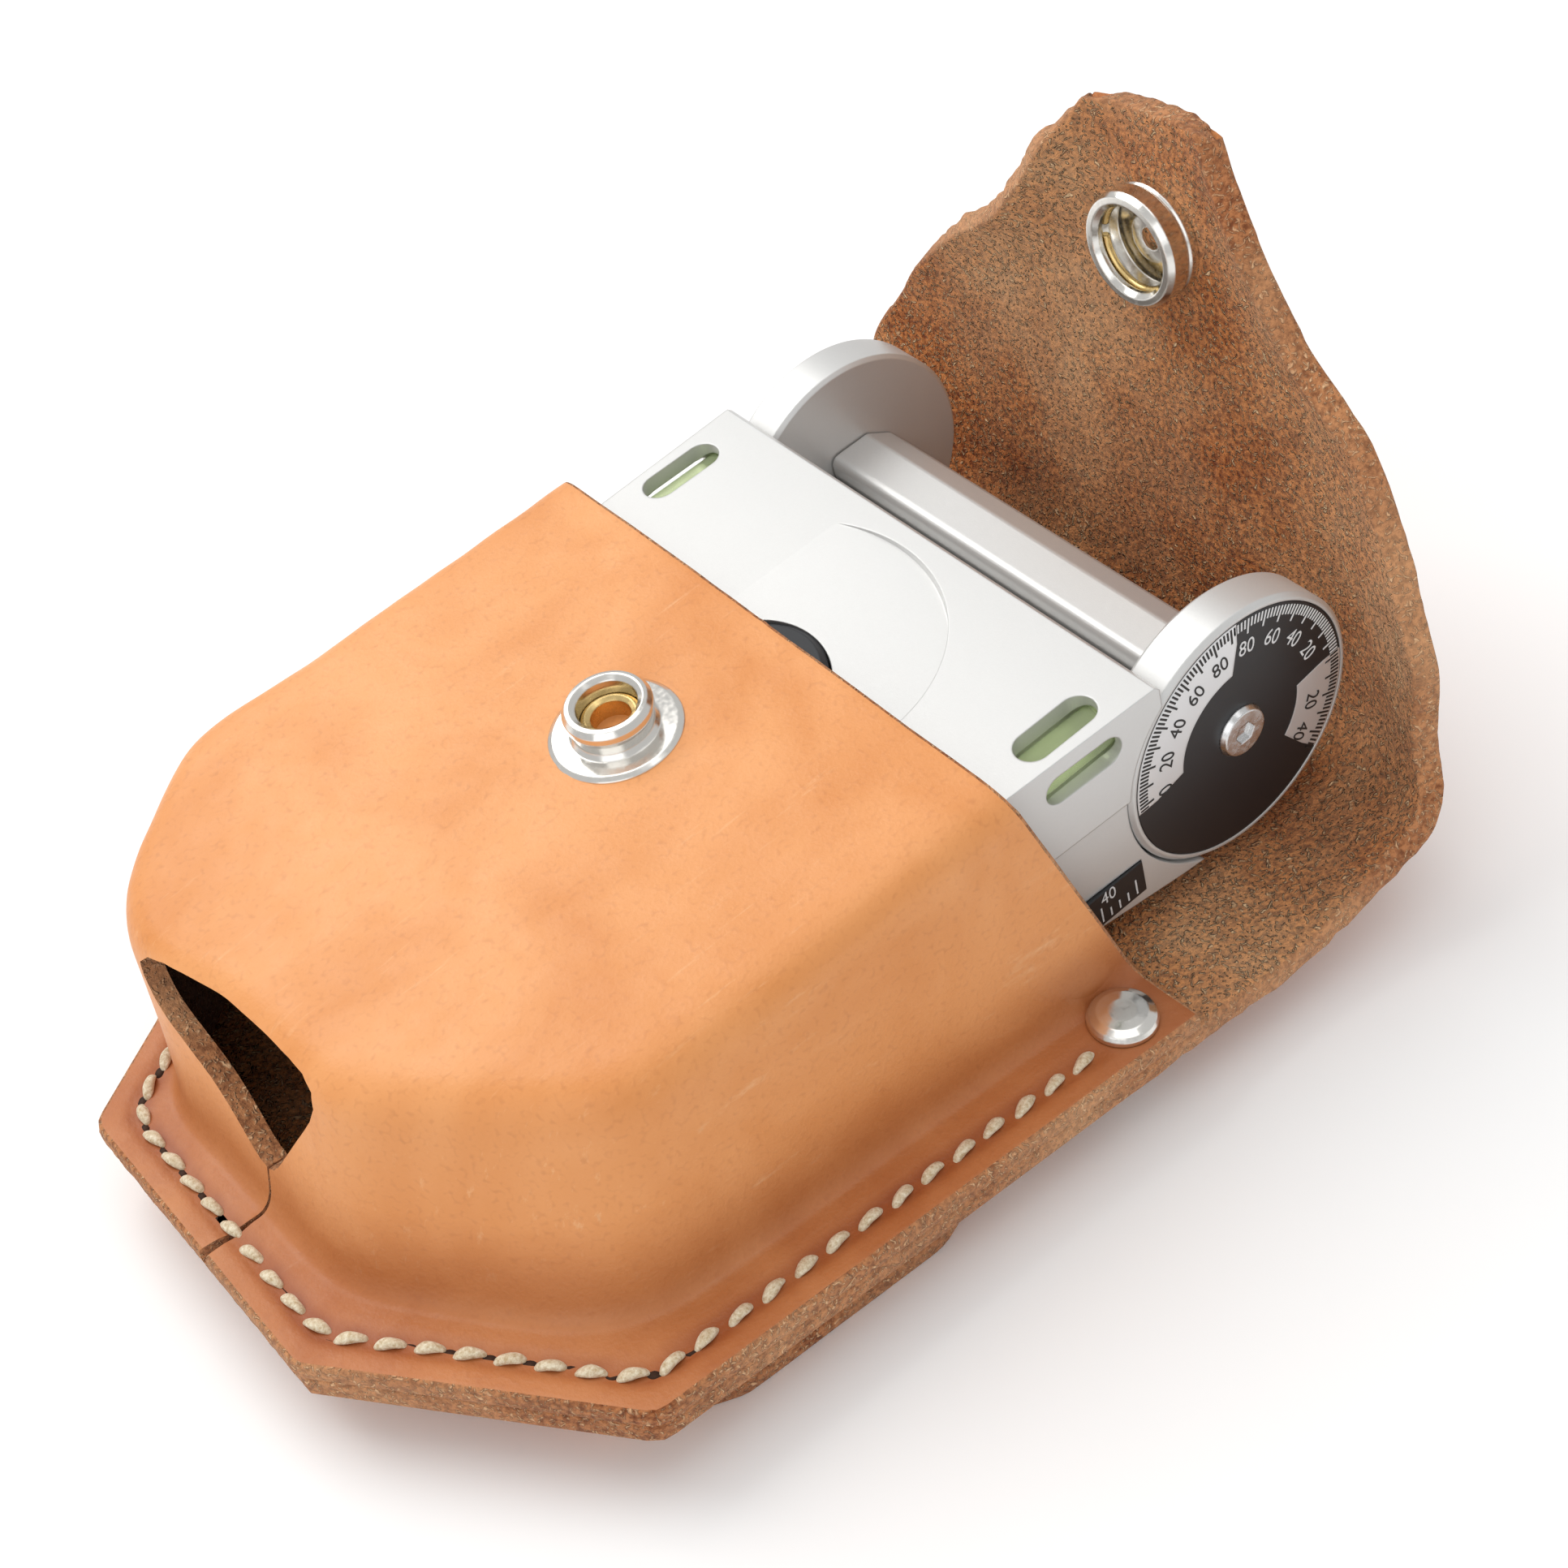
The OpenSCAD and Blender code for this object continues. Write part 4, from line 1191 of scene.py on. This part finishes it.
def build_base_scale():
    """Black inset at the transit's side with a short scale and one number."""
    face = SCALE_Y - LIFT
    left, low = scale_corner()
    left += SCALE_MARGIN[0]
    low += SCALE_MARGIN[1]
    verts, faces = [], []
    for k in range(SCALE_TICKS):
        x = left + k * SCALE_STEP
        top = low + (2.4 if k % 4 == 0 else 1.4)
        plate(verts, faces, [(x - 0.12, low), (x + 0.12, low), (x + 0.12, top), (x - 0.12, top)], face)
    printed("base_scale_ticks", verts, faces, WHITE, "satin_alloy")
    middle = left + (SCALE_TICKS // 2 + 1) * SCALE_STEP
    digits("base_scale_number", "40", (middle, low + 3.4), 0, 2.7, face, WHITE, "satin_alloy")


# ---- finishes of the kept frame parts ----

RIVETS = ("loop_rivet_upper", "loop_rivet_lower", "tab_rivet", "tab_rivet_cap")
FINISHES = {
    NICKEL: [f"{kind}_{side}" for kind in RIVETS for side in ("left", "right")]
    + ["stud_base", "socket_shell", "socket_eyelet"],
    BRASS: ["stud_eyelet", "socket_spring", "needle_pivot"],
    ALLOY: ["transit_base", "transit_lid", "hinge_block", "hinge_disc_left", "hinge_disc_right",
            "cover_plate"],
    STEEL: ["hinge_pin", "dial_screw", "blind_screw"],
    BLACK: ["dial_plate", "base_scale"],
    RUBBER: ["lid_knob"],
    VIAL: ["vial_left", "vial_right"],
    MIRROR: ["mirror_glass"],
    GLASS: ["compass_glass"],
    NEEDLE: ["compass_needle"],
}


def finish_nodes():
    for material, names in FINISHES.items():
        for name in names:
            node = frame["nodes"][name]
            node.data.materials.clear()
            node.data.materials.append(material)
            for p in node.data.polygons:
                p.use_smooth = True
            soften = node.modifiers.new("soften", "EDGE_SPLIT")
            soften.split_angle = math.radians(32)


# ---- stage ----

WORLD_LIGHT = 0.62
LIGHTS_AIM = (0.02, 0, 0.02)
KEY = ((-0.12, 0.55, 0.75), 0.7, 4.6, (1, 0.99, 0.97))  # place, size, watts, tint
FILL = ((-0.7, -0.5, 0.5), 0.8, 1.8, (0.98, 0.99, 1))
TOP = ((0.1, -0.05, 0.9), 0.6, 1.2, (1, 1, 1))
LENS = 61.364
CAMERA_PLACE = (-0.0851, -0.1940, 0.2381)
CAMERA_RIGHT = Vector((0.7751, -0.6215, -0.1136))
CAMERA_UP = Vector((0.4940, 0.4840, 0.7223))

def area_light(name, place, size, watts, tint):
    data = bpy.data.lights.new(name, "AREA")
    data.shape = "RECTANGLE"
    data.size, data.size_y = size, size
    data.energy = watts
    data.color = tint
    obj = linked(name, data)
    obj.location = place
    obj.rotation_mode = "QUATERNION"
    obj.rotation_quaternion = (Vector(LIGHTS_AIM) - Vector(place)).to_track_quat("-Z", "Y")


def build_stage():
    s = Nodes("floor_white")
    at = s.place()
    tone = s.mix(s.noise(at, 6.0), (0.96, 0.96, 0.96), (0.98, 0.98, 0.98))
    floor_material = s.finish(color=tone, rough=0.9, specular=0.1)
    bm = bmesh.new()
    bmesh.ops.create_grid(bm, x_segments=2, y_segments=2, size=6)
    mesh = bpy.data.meshes.new("floor")
    bm.to_mesh(mesh)
    bm.free()
    floor = linked("floor", mesh)
    mesh.materials.append(floor_material)
    floor.location = (0, 0, -0.00005)
    world = bpy.data.worlds.new("studio")
    world.use_nodes = True
    world.node_tree.nodes["Background"].inputs[0].default_value = (1, 1, 1, 1)
    world.node_tree.nodes["Background"].inputs[1].default_value = WORLD_LIGHT
    bpy.context.scene.world = world
    for name, light in (("key", KEY), ("fill", FILL), ("top", TOP)):
        area_light(name, *light)


def build_camera():
    data = bpy.data.cameras.new("camera")
    data.sensor_width = 36
    data.lens = LENS
    data.clip_start = 0.01
    camera = linked("camera", data)
    back = CAMERA_RIGHT.cross(CAMERA_UP).normalized()
    camera.matrix_world = Matrix((CAMERA_RIGHT, CAMERA_UP, back)).transposed().to_4x4()
    camera.location = CAMERA_PLACE
    bpy.context.scene.camera = camera


build_pocket()
build_panel()
build_belt_loop()
build_stitching()
build_awl_holes()
build_dial()
build_base_scale()
finish_nodes()
build_stage()
build_camera()
bpy.context.scene.view_settings.view_transform = "Standard"
bpy.context.view_layer.update()
